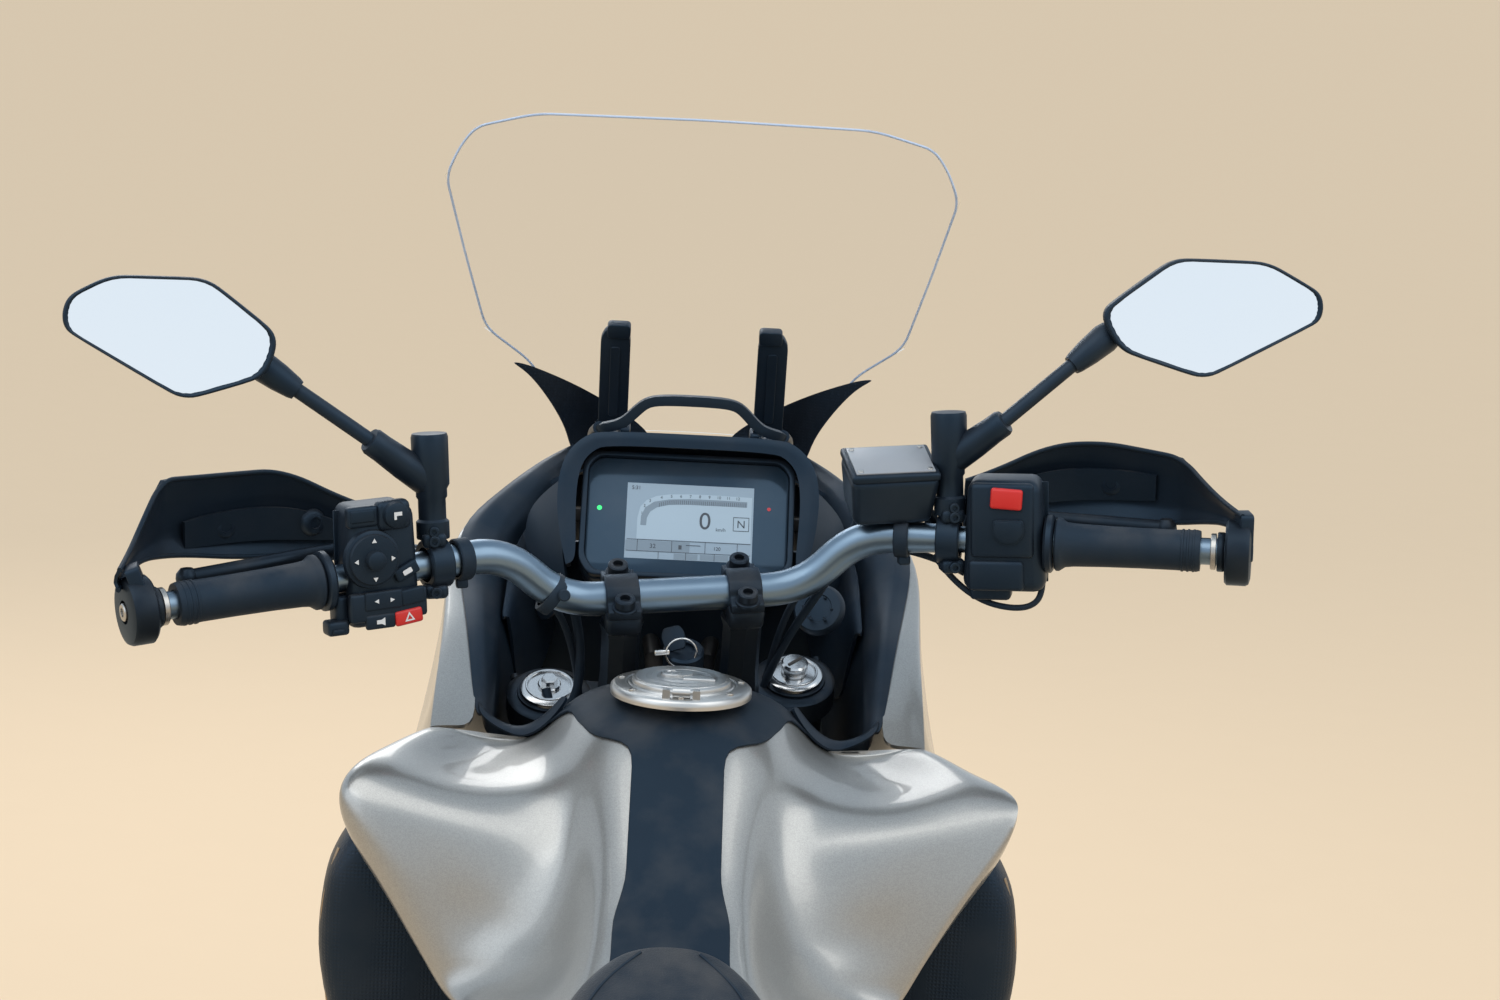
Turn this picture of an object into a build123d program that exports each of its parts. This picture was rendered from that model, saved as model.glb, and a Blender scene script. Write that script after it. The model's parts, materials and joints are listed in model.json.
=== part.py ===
from build123d import *
from math import atan2, cos, degrees, pi, radians, sin, tan
import os

# A sport touring motorcycle with a parallel twin engine, on its centre stand, its steering turned a little left.
# Millimetres. X is the rider's right, Y is forward, Z is up. The origin is on the floor, below the middle of the
# bounding box. Every steered piece is drawn with the steering straight and turned to the rest angle at the end.

# Wheels and stance
FRONT_AXLE_Y, SWINGARM_LENGTH = 802.0, 534.0
FRONT_TYRE_R, FRONT_TYRE_W, FRONT_RIM_R, FRONT_RIM_W = 329.0, 110.0, 241.0, 72.0
REAR_TYRE_R, REAR_TYRE_W, REAR_RIM_R, REAR_RIM_W = 321.0, 150.0, 216.0, 112.0
REAR_LIFT = 15.0
AXLE_R, HUB_R, RUNNING_CLEARANCE = 10.0, 34.0, 0.05
SEAT_GAP = 0.3

# Steering: rake, offset between the steering axis and the fork line, and lengths along them
RAKE = 25.5
FORK_OFFSET, FORK_SPREAD, FORK_LENGTH = 40.0, 106.0, 771.0
FORK_TUBE_R, FORK_LEG_R = 27.0, 21.5
REST_STEER = 9.4
GUARD_CLEARANCE, GUARD_PAD_X = 14.0, 73.0
GUARD_LUG = -FORK_LENGTH + FRONT_TYRE_R + GUARD_CLEARANCE - 8.0
TUBE_END = GUARD_LUG - 19.0
CALIPER_BACK, CALIPER_UP, CALIPER_D = 62.0, 118.0, 56.0
STEM_R, HEAD_R, HEAD_TOP, HEAD_LENGTH = 15.0, 31.0, 29.0, 150.0
YOKE_T, LOWER_YOKE_DROP, CAP_RISE = 20.0, 205.0, 4.0

# Handlebar, measured from the middle of the bar
BAR_RISE, BAR_AHEAD, BAR_R, BAR_END_R = 120.5, 15.3, 14.3, 11.1
BAR_FLAT, BAR_HALF = 104.0, 424.0
BAR_KINK, BAR_TIP = (146.0, -14.0, 46.0), (424.0, -118.0, 38.0)
CLAMP_HALF = 51.0
GRIP_R, GRIP_IN, GRIP_OUT = 16.5, 290.0, 408.0

# Frame and running gear
PIVOT_Y, PIVOT_Z, PIVOT_HALF = -195.0, 445.0, 148.0
FRAME_TUBE_R, SUBFRAME_TUBE_R = 16.0, 11.0
ARM_X, ARM_W = 117.0, 26.0
CHAIN_X, CHAIN_W, CHAIN_H = -88.0, 16.0, 15.0
SPROCKET_TEETH, PINION_TEETH, CHAIN_PITCH = 43, 16, 15.875
PINION_Y, PINION_Z = -112.0, 448.0

# Stands
STAND_PIVOT_Y, STAND_PIVOT_Z, STAND_FOOT_X, STAND_FOOT_AHEAD = -250.0, 292.0, 135.0, 28.0
STAND_TUBE_R, FOOT_T, STAND_PIN_R = 13.0, 12.0, 8.0
STAND_LUG_IN, STAND_LUG_OUT, STAND_CHEEK_IN, STAND_CHEEK_OUT = 130.0, 150.0, 106.0, 124.0
PIN_FIT = STAND_PIN_R + RUNNING_CLEARANCE
SIDE_PIVOT, SIDE_AXIS, SIDE_FOLDED = (-176.0, -40.0, 262.0), (0.7924, -0.0701, -0.6058), (-0.05, -0.9975, 0.05)
SIDE_LENGTH, SIDE_TUBE_R, SIDE_PIN_R = 236.0, 10.0, 6.0

# Tank, filler and cover
FILLER_Y, FILLER_Z, FILLER_R, FLAP_R, NECK_R = 311.0, 1064.0, 57.0, 40.0, 36.0
RING_T, FLAP_T = 5.0, 6.0
WALL = 4.0

# Display
DASH_W, DASH_H, DASH_TILT, DASH_Y, DASH_Z = 178.0, 108.0, 32.0, 571.0, 1154.0

UP = Vector(0, -sin(radians(RAKE)), cos(radians(RAKE)))
AHEAD = Vector(0, cos(radians(RAKE)), sin(radians(RAKE)))
FRONT_AXLE = Vector(0, FRONT_AXLE_Y, FRONT_TYRE_R)
REAR_AXLE = Vector(0, PIVOT_Y - SWINGARM_LENGTH, REAR_TYRE_R + REAR_LIFT)
HEAD = FRONT_AXLE + UP * FORK_LENGTH - AHEAD * FORK_OFFSET
BAR = HEAD + UP * BAR_RISE + AHEAD * BAR_AHEAD
STEERING_AXIS = Axis(HEAD, UP)
PARTS = {}


def rod(a, b, radius, end_radius=None):
    """A round bar from a to b, tapered if it has another radius at its end."""
    a, b = Vector(*a), Vector(*b)
    plane = Plane(origin=a, z_dir=b - a)
    if end_radius is None:
        return Solid.make_cylinder(radius, (b - a).length, plane)
    return Solid.make_cone(radius, end_radius, (b - a).length, plane)


def pipe(points, radius, bend):
    """A round tube along straight runs joined by arcs."""
    path = FilletPolyline(*points, radius=bend)
    return sweep(Plane(origin=path @ 0, z_dir=path % 0) * Circle(radius), path=path)


def ball(at, radius):
    """A round joint between two bars."""
    return Solid.make_sphere(radius, Plane(origin=at), angle1=-90, angle2=90)


def chain_of_rods(points, radius):
    """Bars from point to point, with a ball at each inner corner."""
    bars = [rod(a, b, radius) for a, b in zip(points, points[1:])]
    return bars + [ball(p, radius) for p in points[1:-1]]


def fuse(shapes):
    """All the shapes as one piece."""
    shapes = list(shapes)
    return shapes[0].fuse(*shapes[1:]) if len(shapes) > 1 else shapes[0]


def mirrored(shape):
    """The same shape on the other side of the motorcycle."""
    return mirror(shape, about=Plane.YZ)


def together(*shapes):
    """Solids that share a node without touching."""
    return Compound([solid for shape in shapes for solid in shape.solids()])


def pair(shape):
    """A piece and its mirror image."""
    return together(shape, mirrored(shape))


def face_of(points, radius=0.0):
    """A flat face with its corners rounded."""
    face = make_face(Polyline(*points, close=True)).faces()[0]
    return face.fillet_2d(radius, face.vertices()) if radius else face


def plate(plane, points, thickness, radius=0.0):
    """A flat plate of the outline drawn on the plane, thickness along its normal."""
    flat = make_face(Polyline(*[(x, y, 0) for x, y in points], close=True)).faces()[0]
    if radius:
        flat = flat.fillet_2d(radius, flat.vertices())
    return extrude(plane * flat, thickness, dir=plane.z_dir)


def side_plate(x, line, thickness, radius=0.0):
    """An upright plate along the motorcycle, from x to x + thickness, with its outline given as (y, z)."""
    start = min(x, x + thickness)
    plane = Plane(origin=(start, 0, 0), x_dir=(0, 1, 0), z_dir=(1, 0, 0))
    return plate(plane, line, abs(thickness), radius)


def hull_along(axis, stations, radius=0.0):
    """A body lofted through symmetric sections. A station is its place along the axis, then half outlines
    (x, other) from the top edge to the bottom edge."""
    faces = []
    for place, half in stations:
        whole = half + [(-x, v) for x, v in reversed(half)]
        if axis == "y":
            faces.append(face_of([(x, place, v) for x, v in whole], radius))
        else:
            faces.append(face_of([(x, v, place) for x, v in whole], radius))
    return loft(faces, ruled=True)


def sheet(stations, shift):
    """A thin panel lofted through open lines of points. Its other side is the same lines moved by shift."""
    shift = Vector(*shift)
    faces = []
    for line in stations:
        outer = [Vector(*p) for p in line]
        faces.append(face_of(outer + [p + shift for p in reversed(outer)]))
    return loft(faces, ruled=True)


def skin(stations, shift):
    """A sheet whose lines stand across Y. A station is its Y, then the line (x, z) from edge to edge."""
    return sheet([[(x, y, z) for x, z in line] for y, line in stations], (shift[0], 0, shift[1]))


def box(centre, size, turn=(0, 0, 0), radius=0.0):
    """A box about its centre, turned, with its upright edges rounded."""
    solid = Box(*size)
    if radius:
        solid = fillet(solid.edges().filter_by(Axis.Z), radius)
    return Pos(*centre) * Rot(*turn) * solid


def on_head(x, ahead, up):
    """A point placed along the steering axis and ahead of it, from the top of the steering head."""
    return HEAD + AHEAD * ahead + UP * up + Vector(x, 0, 0)


def on_bar(x, y, z):
    """A point measured from the middle of the handlebar."""
    return BAR + Vector(x, y, z)


# Wheels


def wheel_profile(points):
    """A ring about X from its section (x, radius)."""
    return revolve(make_face(Polyline(*[(x, r, 0) for x, r in points], close=True)), Axis.X, 360)


def tyre(outer, width, rim_r, rim_w):
    """A tyre with a round crown, upright walls and beads that sit inside the rim's lips."""
    bead, shoulder = rim_w / 2 - SEAT_GAP, rim_r + 0.62 * (outer - rim_r)
    foot = rim_r + SEAT_GAP
    section = [
        Line((-bead, foot, 0), (-bead, foot + 12, 0)),
        ThreePointArc((-bead, foot + 12, 0), (-width / 2, shoulder - 14, 0), (-width / 2 + 4, shoulder, 0)),
        ThreePointArc((-width / 2 + 4, shoulder, 0), (0, outer, 0), (width / 2 - 4, shoulder, 0)),
        ThreePointArc((width / 2 - 4, shoulder, 0), (width / 2, shoulder - 14, 0), (bead, foot + 12, 0)),
        Line((bead, foot + 12, 0), (bead, foot, 0)),
        Line((bead, foot, 0), (-bead, foot, 0)),
    ]
    return revolve(make_face(Wire(section)), Axis.X, 360)


def rim(rim_r, rim_w, hub_half, spoke_pairs, spoke_w):
    """A cast wheel: a barrel with lips, a hub with its bearing bore, and paired spokes."""
    lip, deep, half = 4.0, 14.0, rim_w / 2
    barrel = wheel_profile(
        [
            (-half - lip, rim_r + 9), (-half, rim_r + 9), (-half, rim_r), (half, rim_r), (half, rim_r + 9),
            (half + lip, rim_r + 9), (half + lip, rim_r - 6), (half * 0.4, rim_r - deep), (-half * 0.4, rim_r - deep),
            (-half - lip, rim_r - 6),
        ]
    )
    bore = AXLE_R + RUNNING_CLEARANCE
    hub = wheel_profile([(-hub_half, bore), (-hub_half, HUB_R), (hub_half, HUB_R), (hub_half, bore)])
    reach, root = rim_r - 8.0, HUB_R - 4.0
    spoke = plate(
        Plane(origin=(-spoke_w / 2, 0, 0), x_dir=(0, 1, 0), z_dir=(1, 0, 0)),
        [(6, root), (22, root), (52, reach), (34, reach)],
        spoke_w,
    )
    twin = spoke + mirror(spoke, about=Plane.XZ)
    spokes = [twin.rotate(Axis.X, 360 / spoke_pairs * k) for k in range(spoke_pairs)]
    return fuse([barrel, hub, *spokes])


def disc(outer, inner, x, hub_half, hole_count):
    """A brake disc on its carrier, with a ring of cooling holes."""
    thick, hole_r = 5.0, 4.0
    plane = Plane(origin=(x - thick / 2, 0, 0), x_dir=(0, 1, 0), z_dir=(1, 0, 0))
    ring = extrude(plane * Circle(outer) - plane * Circle(inner), thick)
    middle = (outer + inner) / 2
    holes = [
        plane * Pos(middle * cos(a), middle * sin(a)) * Circle(hole_r)
        for a in [2 * pi * k / hole_count for k in range(hole_count)]
    ]
    ring -= extrude(Sketch() + holes, thick)
    arms = [
        plate(plane, [(HUB_R + 10, -9), (inner + 6, -14), (inner + 6, 14), (HUB_R + 10, 9)], thick).rotate(Axis.X, 60 * k)
        for k in range(6)
    ]
    side = 1 if x > 0 else -1
    seat = Plane(origin=(side * (hub_half + SEAT_GAP), 0, 0), x_dir=(0, 1, 0), z_dir=(side, 0, 0))
    length = abs(x) + thick / 2 - hub_half - SEAT_GAP
    boss = extrude(seat * Circle(HUB_R + 14) - seat * Circle(AXLE_R + 8), length)
    return fuse([ring, boss, *arms])


def toothed(teeth, pitch, thick, x):
    """A chain sprocket with its teeth and carrier ring."""
    r = pitch / (2 * sin(pi / teeth))
    points = []
    for k in range(teeth):
        for share, out in ((0.0, -5.5), (0.22, -1.0), (0.42, 4.5), (0.58, 4.5), (0.78, -1.0)):
            a = 2 * pi * (k + share) / teeth
            points.append(((r + out) * cos(a), (r + out) * sin(a)))
    plane = Plane(origin=(x - thick / 2, 0, 0), x_dir=(0, 1, 0), z_dir=(1, 0, 0))
    return plate(plane, points, thick)


FRONT_HUB, REAR_HUB = 44.0, 58.0
FRONT_DISC_X, REAR_DISC_X = 62.0, 76.0


def at_front_wheel(shape):
    return Pos(*FRONT_AXLE) * shape


def at_rear_wheel(shape):
    return Pos(*REAR_AXLE) * shape


def sprocket_ring():
    """The rear sprocket, bored, with five arms cut between its lightening slots."""
    body = toothed(SPROCKET_TEETH, CHAIN_PITCH, 7.0, CHAIN_X)
    inside = Plane(origin=(CHAIN_X - 4, 0, 0), x_dir=(0, 1, 0), z_dir=(1, 0, 0))
    slot = plate(inside, [(58, -14), (88, -20), (88, 20), (58, 14)], 8.0, 5.0)
    body -= fuse([slot.rotate(Axis.X, 60 * k + 30) for k in range(6)])
    body -= extrude(inside * Circle(AXLE_R + 8), 8)
    carrier_in = -(REAR_HUB + SEAT_GAP)
    seat = Plane(origin=(carrier_in, 0, 0), x_dir=(0, 1, 0), z_dir=(-1, 0, 0))
    boss = extrude(seat * Circle(HUB_R + 20) - seat * Circle(AXLE_R + 8), -CHAIN_X - REAR_HUB - SEAT_GAP)
    return body + boss


PARTS["front_rim"] = at_front_wheel(rim(FRONT_RIM_R, FRONT_RIM_W, FRONT_HUB, 7, 20.0))
PARTS["front_tyre"] = at_front_wheel(tyre(FRONT_TYRE_R, FRONT_TYRE_W, FRONT_RIM_R, FRONT_RIM_W))
PARTS["front_discs"] = at_front_wheel(
    together(disc(160, 118, FRONT_DISC_X, FRONT_HUB, 20), disc(160, 118, -FRONT_DISC_X, FRONT_HUB, 20))
)
PARTS["rear_rim"] = at_rear_wheel(rim(REAR_RIM_R, REAR_RIM_W, REAR_HUB, 7, 26.0))
PARTS["rear_tyre"] = at_rear_wheel(tyre(REAR_TYRE_R, REAR_TYRE_W, REAR_RIM_R, REAR_RIM_W))
PARTS["rear_disc_sprocket"] = at_rear_wheel(together(disc(130, 92, REAR_DISC_X, REAR_HUB, 16), sprocket_ring()))


# Frame, engine and running gear


SHOCK_TOP, SHOCK_LOW, EYE_HALF = (0, PIVOT_Y - 50, 672.0), (0, PIVOT_Y - 96, PIVOT_Z + 39), 18.0


def frame():
    """A steel tube frame: the bored steering head, two rails a side, swingarm plates and the seat rails."""
    head_low = on_head(0, 0, -HEAD_TOP - HEAD_LENGTH)
    head_top = on_head(0, 0, -HEAD_TOP)
    upper_in, lower_in = on_head(20, 0, -88), on_head(20, 0, -160)
    plate_top, plate_low = (PIVOT_HALF, PIVOT_Y + 12, 700), (PIVOT_HALF, PIVOT_Y - 8, 300)
    knee = (PIVOT_HALF + 4, 170, 812)
    lower_knee, lower_end = (PIVOT_HALF + 6, 250, 716), (PIVOT_HALF + 4, -60, 676)
    seat_end = (76, -800, 868)
    rails = [
        *chain_of_rods([upper_in, knee, plate_top, plate_low], FRAME_TUBE_R),
        *chain_of_rods([lower_in, lower_knee, lower_end, plate_top], FRAME_TUBE_R - 3),
        rod(knee, lower_knee, FRAME_TUBE_R - 5),
        rod((PIVOT_HALF + 2, 20, 764), lower_knee, FRAME_TUBE_R - 5),
        rod((PIVOT_HALF, PIVOT_Y + 30, 745), seat_end, SUBFRAME_TUBE_R),
        *chain_of_rods([(PIVOT_HALF, PIVOT_Y - 4, 540), (104, -560, 790), seat_end], SUBFRAME_TUBE_R),
        rod((PIVOT_HALF, PIVOT_Y, PIVOT_Z), (ARM_X + ARM_W / 2 + SEAT_GAP, PIVOT_Y, PIVOT_Z), 26),
        rod((STAND_LUG_IN, STAND_PIVOT_Y, STAND_PIVOT_Z), (STAND_LUG_OUT, STAND_PIVOT_Y, STAND_PIVOT_Z), 19),
        rod((PIVOT_HALF, PIVOT_Y - 8, 306), (PIVOT_HALF - 6, STAND_PIVOT_Y, STAND_PIVOT_Z), 12),
    ]
    cross = [
        rod((-PIVOT_HALF, PIVOT_Y + 12, 700), (PIVOT_HALF, PIVOT_Y + 12, 700), 14),
        rod((-PIVOT_HALF, PIVOT_Y - 8, 318), (PIVOT_HALF, PIVOT_Y - 8, 318), 11),
        rod((-104, -560, 790), (104, -560, 790), 9),
        rod((-76, -800, 868), (76, -800, 868), 9),
    ]
    side = fuse(rails)
    head = rod(head_low, head_top, HEAD_R)
    pivot, along = Vector(*SIDE_PIVOT), Vector(*SIDE_AXIS)
    bracket = [
        rod((-PIVOT_HALF, PIVOT_Y, 304), pivot + along * 28, 9),
        rod(pivot + along * 13.5, pivot + along * 34, 15),
        rod(pivot - along * 15, pivot + along * 15, SIDE_PIN_R),
    ]
    stays = [
        *chain_of_rods([lower_knee, (192, 330, 704), (192, 404, 690)], 8),
        rod((192, 404, 690), (183 + SEAT_GAP, 404, 690), 8),
        rod((PIVOT_HALF + 4, 180, 707), (PIVOT_HALF + 4, 180, 655), 9),
        rod((PIVOT_HALF + 12, 180, 655), (125 + SEAT_GAP, 180, 655), 12),
        rod((115, 256, 846), (92, 256, 846), 8),
        rod((95, 256, 846), (95, 256, 870.3), 5),
        rod((70, -250, 761), (70, -250, 792.8), 8),
        rod((60, -560, 790), (60, -560, 848.3), 8),
        *chain_of_rods(
            [on_head(14, 20, -70), on_head(24, 166, -70), (46, 690, 1128), (50, 696, 1138)], 8
        ),
        rod((40, 668, 1098), (40, 668, 1143 - SEAT_GAP), 7),
        rod((46, 690, 1128), (46, 708 - SEAT_GAP, 1128), 6),
        *chain_of_rods([(22, PIVOT_Y + 12, 700), (22, PIVOT_Y - 50, 672)], 12),
    ]
    stays = fuse(stays)
    cross.append(rod((-138, -250, 761), (138, -250, 761), 9))
    top = Vector(*SHOCK_TOP)
    ears = rod(top - Vector(EYE_HALF, 0, 0), top + Vector(EYE_HALF, 0, 0), 30)
    whole = fuse([head, side, mirrored(side), stays, mirrored(stays), *cross, *bracket]) - ears
    for s in (-1, 1):
        x = s * STAND_LUG_OUT
        whole -= rod((s * 100, STAND_PIVOT_Y, STAND_PIVOT_Z), (x + s, STAND_PIVOT_Y, STAND_PIVOT_Z), PIN_FIT)
    return whole - rod(head_low - UP, head_top + UP, STEM_R + RUNNING_CLEARANCE)


def engine():
    """The engine as one heavy mass: crankcase, inclined cylinders with a finned block, head and its covers."""
    case = hull_along(
        "y",
        [
            (-168, [(96, 470), (98, 330)]),
            (-130, [(112, 520), (116, 262)]),
            (60, [(116, 520), (120, 244)]),
            (215, [(112, 470), (112, 262)]),
            (262, [(84, 420), (84, 312)]),
        ],
    )
    lean = Pos(0, 120, 470) * Rot(-18, 0, 0)
    block = lean * Pos(0, 0, 78) * Box(232, 172, 156)
    fins = [lean * Pos(0, 0, 44 + 14 * k) * Box(248, 188, 5) for k in range(7)]
    head = lean * Pos(0, 0, 178) * fillet(Box(250, 182, 54).edges().filter_by(Axis.Z), 22)
    cover = lean * Pos(0, 0, 224) * fillet(Box(232, 150, 40).edges().filter_by(Axis.Z), 30)
    covers = [
        rod((104, 30, 372), (158, 30, 372), 84, 78),
        rod((156, 30, 372), (166, 30, 372), 52, 46),
        rod((100, -84, 420), (146, -92, 420), 46, 40),
        rod((-104, 96, 368), (-156, 96, 368), 80, 72),
        rod((-154, 96, 368), (-164, 96, 368), 44, 38),
    ]
    rear_lug = box((0, -175, 506), (180, 40, 56))
    lugs = rod((-132 + SEAT_GAP, -186, 506), (132 - SEAT_GAP, -186, 506), 12)
    pocket = side_plate(CHAIN_X - 12, [(-204, 348), (-60, 384), (-46, PINION_Z), (-60, 512), (-204, 512)], 24)
    small = CHAIN_PITCH / (2 * sin(pi / PINION_TEETH)) - CHAIN_H / 2 - 3 * SEAT_GAP
    pinion = rod((CHAIN_X - 4, PINION_Y, PINION_Z), (CHAIN_X + 20, PINION_Y, PINION_Z), small)
    pinion_cover = side_plate(-108, [(-150, 500), (-150, 402), (-60, 372), (-30, 440), (-60, 506)], -26, 12)
    oil_filter = rod((0, 250, 352), (0, 284, 344), 30)
    return fuse([case, block, *fins, head, cover, *covers, pinion_cover, oil_filter, rear_lug, lugs]) - pocket + pinion


def radiator():
    """A finned cooler core between two end tanks, with its fan ring behind."""
    lean = Pos(0, 402, 590) * Rot(-10, 0, 0)
    core = lean * Box(300, 26, 250)
    grooves = [lean * Pos(0, 13, z) * Box(288, 8, 4) for z in range(-108, 110, 12)]
    tanks = [lean * Pos(s * 166, 0, 0) * fillet(Box(34, 40, 262).edges().filter_by(Axis.Z), 9) for s in (-1, 1)]
    fan = lean * Pos(0, -22, 0) * Rot(90, 0, 0) * Cylinder(104, 22)
    return fuse([core - fuse(grooves), *tanks, fan])


CAN_START, CAN_END = (197.0, -400.0, 430.0), (206.0, -840.0, 602.0)
CAN_ALONG = (Vector(*CAN_END) - Vector(*CAN_START)).normalized()


def exhaust():
    """Two header pipes from the head, under the engine, joined into one pipe to the silencer."""
    low, join_x = 208.0, 34.0
    headers = [
        pipe(
            [
                (s * 52, 261.9, 611.1), (s * 52, 318.9, 592.6), (s * 52, 320, 320), (join_x + s * 20, 268, low + 4),
                (join_x + s * 16, 130, low),
            ],
            17,
            26,
        )
        for s in (-1, 1)
    ]
    collector = rod((join_x, 150, low), (join_x, -60, low), 28)
    end = Vector(*CAN_START) - CAN_ALONG * 0.4
    tail = pipe([(join_x, -56, low), (join_x, -92, low + 2), (196, -178, 264), end - CAN_ALONG * 66, end], 22, 24)
    return fuse([*headers, collector, tail])


def silencer():
    """An upswept end can on the right, six sided, with its end cap and outlet."""
    start, end = Vector(*CAN_START), Vector(*CAN_END)
    plane = Plane(origin=start, x_dir=(1, 0, 0), z_dir=end - start)
    far = Plane(origin=end, x_dir=(1, 0, 0), z_dir=end - start)
    outline = [(-44, -58), (30, -58), (48, -20), (44, 50), (10, 62), (-44, 50)]
    near = [(0.55 * x, 0.62 * y) for x, y in outline]
    middle = plane.offset(96)

    def ring(on, points, r):
        flat = make_face(Polyline(*[(x, y, 0) for x, y in points], close=True)).faces()[0]
        return on * flat.fillet_2d(r, flat.vertices())

    can = loft([ring(plane, near, 9), ring(middle, outline, 16)], ruled=True)
    can += loft([ring(middle, outline, 16), ring(far, outline, 16)], ruled=True)
    tip = far.offset(14)
    cap = loft([ring(far, outline, 16), ring(tip, [(0.78 * x, 0.8 * y) for x, y in outline], 12)], ruled=True)
    outlet = far.offset(-20)
    return (can + cap) - extrude(outlet * Circle(23), 60)


def skid_plate():
    """A folded alloy plate under the engine, turned up ahead of it, with its slots."""
    t = 4.0
    side_line = [(-50, 174), (330, 174), (398, 240), (398 - t, 242), (330 - t / 2, 174 + t), (-50, 174 + t)]
    body = extrude(face_of([(-108, y, z) for y, z in side_line]), 216, dir=(1, 0, 0))
    for s in (-1, 1):
        body += side_plate(s * 108, [(-50, 174), (330, 174), (398, 240), (388, 282), (300, 222), (-30, 214)], s * t)
    posts = [rod((s * 86, 60, 176), (s * 86, 60, 244 - SEAT_GAP), 7) for s in (-1, 1)]
    body = fuse([body, *posts])
    slots = [Pos(0, y, 176) * Box(90, 16, 20) for y in (0, 40, 180, 220, 260)]
    return body - fuse(slots)


def swingarm():
    """Two tapered box arms from the pivot to the axle, a bridge ahead of the tyre, and the rear axle."""
    y, z = REAR_AXLE.Y, REAR_AXLE.Z
    line = [
        (PIVOT_Y + 26, PIVOT_Z + 26), (PIVOT_Y + 26, PIVOT_Z - 26), (PIVOT_Y - 120, PIVOT_Z - 56),
        (y + 60, z - 24), (y - 44, z - 24), (y - 44, z + 24), (y + 90, z + 26), (PIVOT_Y - 90, PIVOT_Z + 22),
    ]
    arms = [side_plate(s * (ARM_X - ARM_W / 2), line, s * ARM_W, 10) for s in (-1, 1)]
    inner = ARM_X - ARM_W / 2 + 4
    bridge = hull_along(
        "z",
        [
            (PIVOT_Z - 30, [(68, PIVOT_Y - 70), (68, PIVOT_Y - 130)]),
            (PIVOT_Z + 20, [(68, PIVOT_Y - 60), (68, PIVOT_Y - 120)]),
        ],
    )
    yokes = [
        rod((s * 60, PIVOT_Y - 96, PIVOT_Z - 6), (s * inner, PIVOT_Y - 96, PIVOT_Z - 6), 20) for s in (-1, 1)
    ]
    pivot = rod((-inner, PIVOT_Y, PIVOT_Z), (inner, PIVOT_Y, PIVOT_Z), 22)
    struts = [rod((s * 50, PIVOT_Y, PIVOT_Z), (s * 50, PIVOT_Y - 90, PIVOT_Z - 6), 15) for s in (-1, 1)]
    tip = ARM_X + ARM_W / 2 + 9
    axle = rod((-tip, REAR_AXLE.Y, REAR_AXLE.Z), (tip, REAR_AXLE.Y, REAR_AXLE.Z), AXLE_R)
    nuts = [
        rod((s * (tip - 9), REAR_AXLE.Y, REAR_AXLE.Z), (s * tip, REAR_AXLE.Y, REAR_AXLE.Z), 18) for s in (-1, 1)
    ]
    caliper = box((REAR_DISC_X, REAR_AXLE.Y + 118, REAR_AXLE.Z + 54), (38, 72, 40), (30, 0, 0), 8)
    caliper -= box((REAR_DISC_X, REAR_AXLE.Y + 104, REAR_AXLE.Z + 42), (15.0, 82, 62), (30, 0, 0))
    bracket = rod((REAR_DISC_X + 12, REAR_AXLE.Y + 136, REAR_AXLE.Z + 58), (inner + 2, REAR_AXLE.Y + 146, REAR_AXLE.Z + 26), 10)
    low = Vector(*SHOCK_LOW)
    ears = [box(low + Vector(s * (EYE_HALF + 5), 0, -12), (10, 34, 52)) for s in (-1, 1)]
    return fuse([*arms, bridge, *yokes, pivot, *struts, axle, *nuts, caliper, bracket, *ears])


def shock():
    """The rear spring and damper, with its eyes."""
    top, low = Vector(*SHOCK_TOP), Vector(*SHOCK_LOW)
    along, length = (low - top).normalized(), (low - top).length
    body = rod(top, low, 13)
    eyes = [
        rod(at - Vector(EYE_HALF - SEAT_GAP, 0, 0), at + Vector(EYE_HALF - SEAT_GAP, 0, 0), 15) for at in (top, low)
    ]
    coils = [rod(top + along * (34 + 15 * k), top + along * (43 + 15 * k), 36) for k in range(8)]
    core = rod(top + along * 32, top + along * (length - 22), 28)
    seats = [rod(top + along * 24, top + along * 33, 40), rod(top + along * (length - 30), top + along * (length - 20), 40)]
    return fuse([body, core, *eyes, *coils, *seats])


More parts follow.
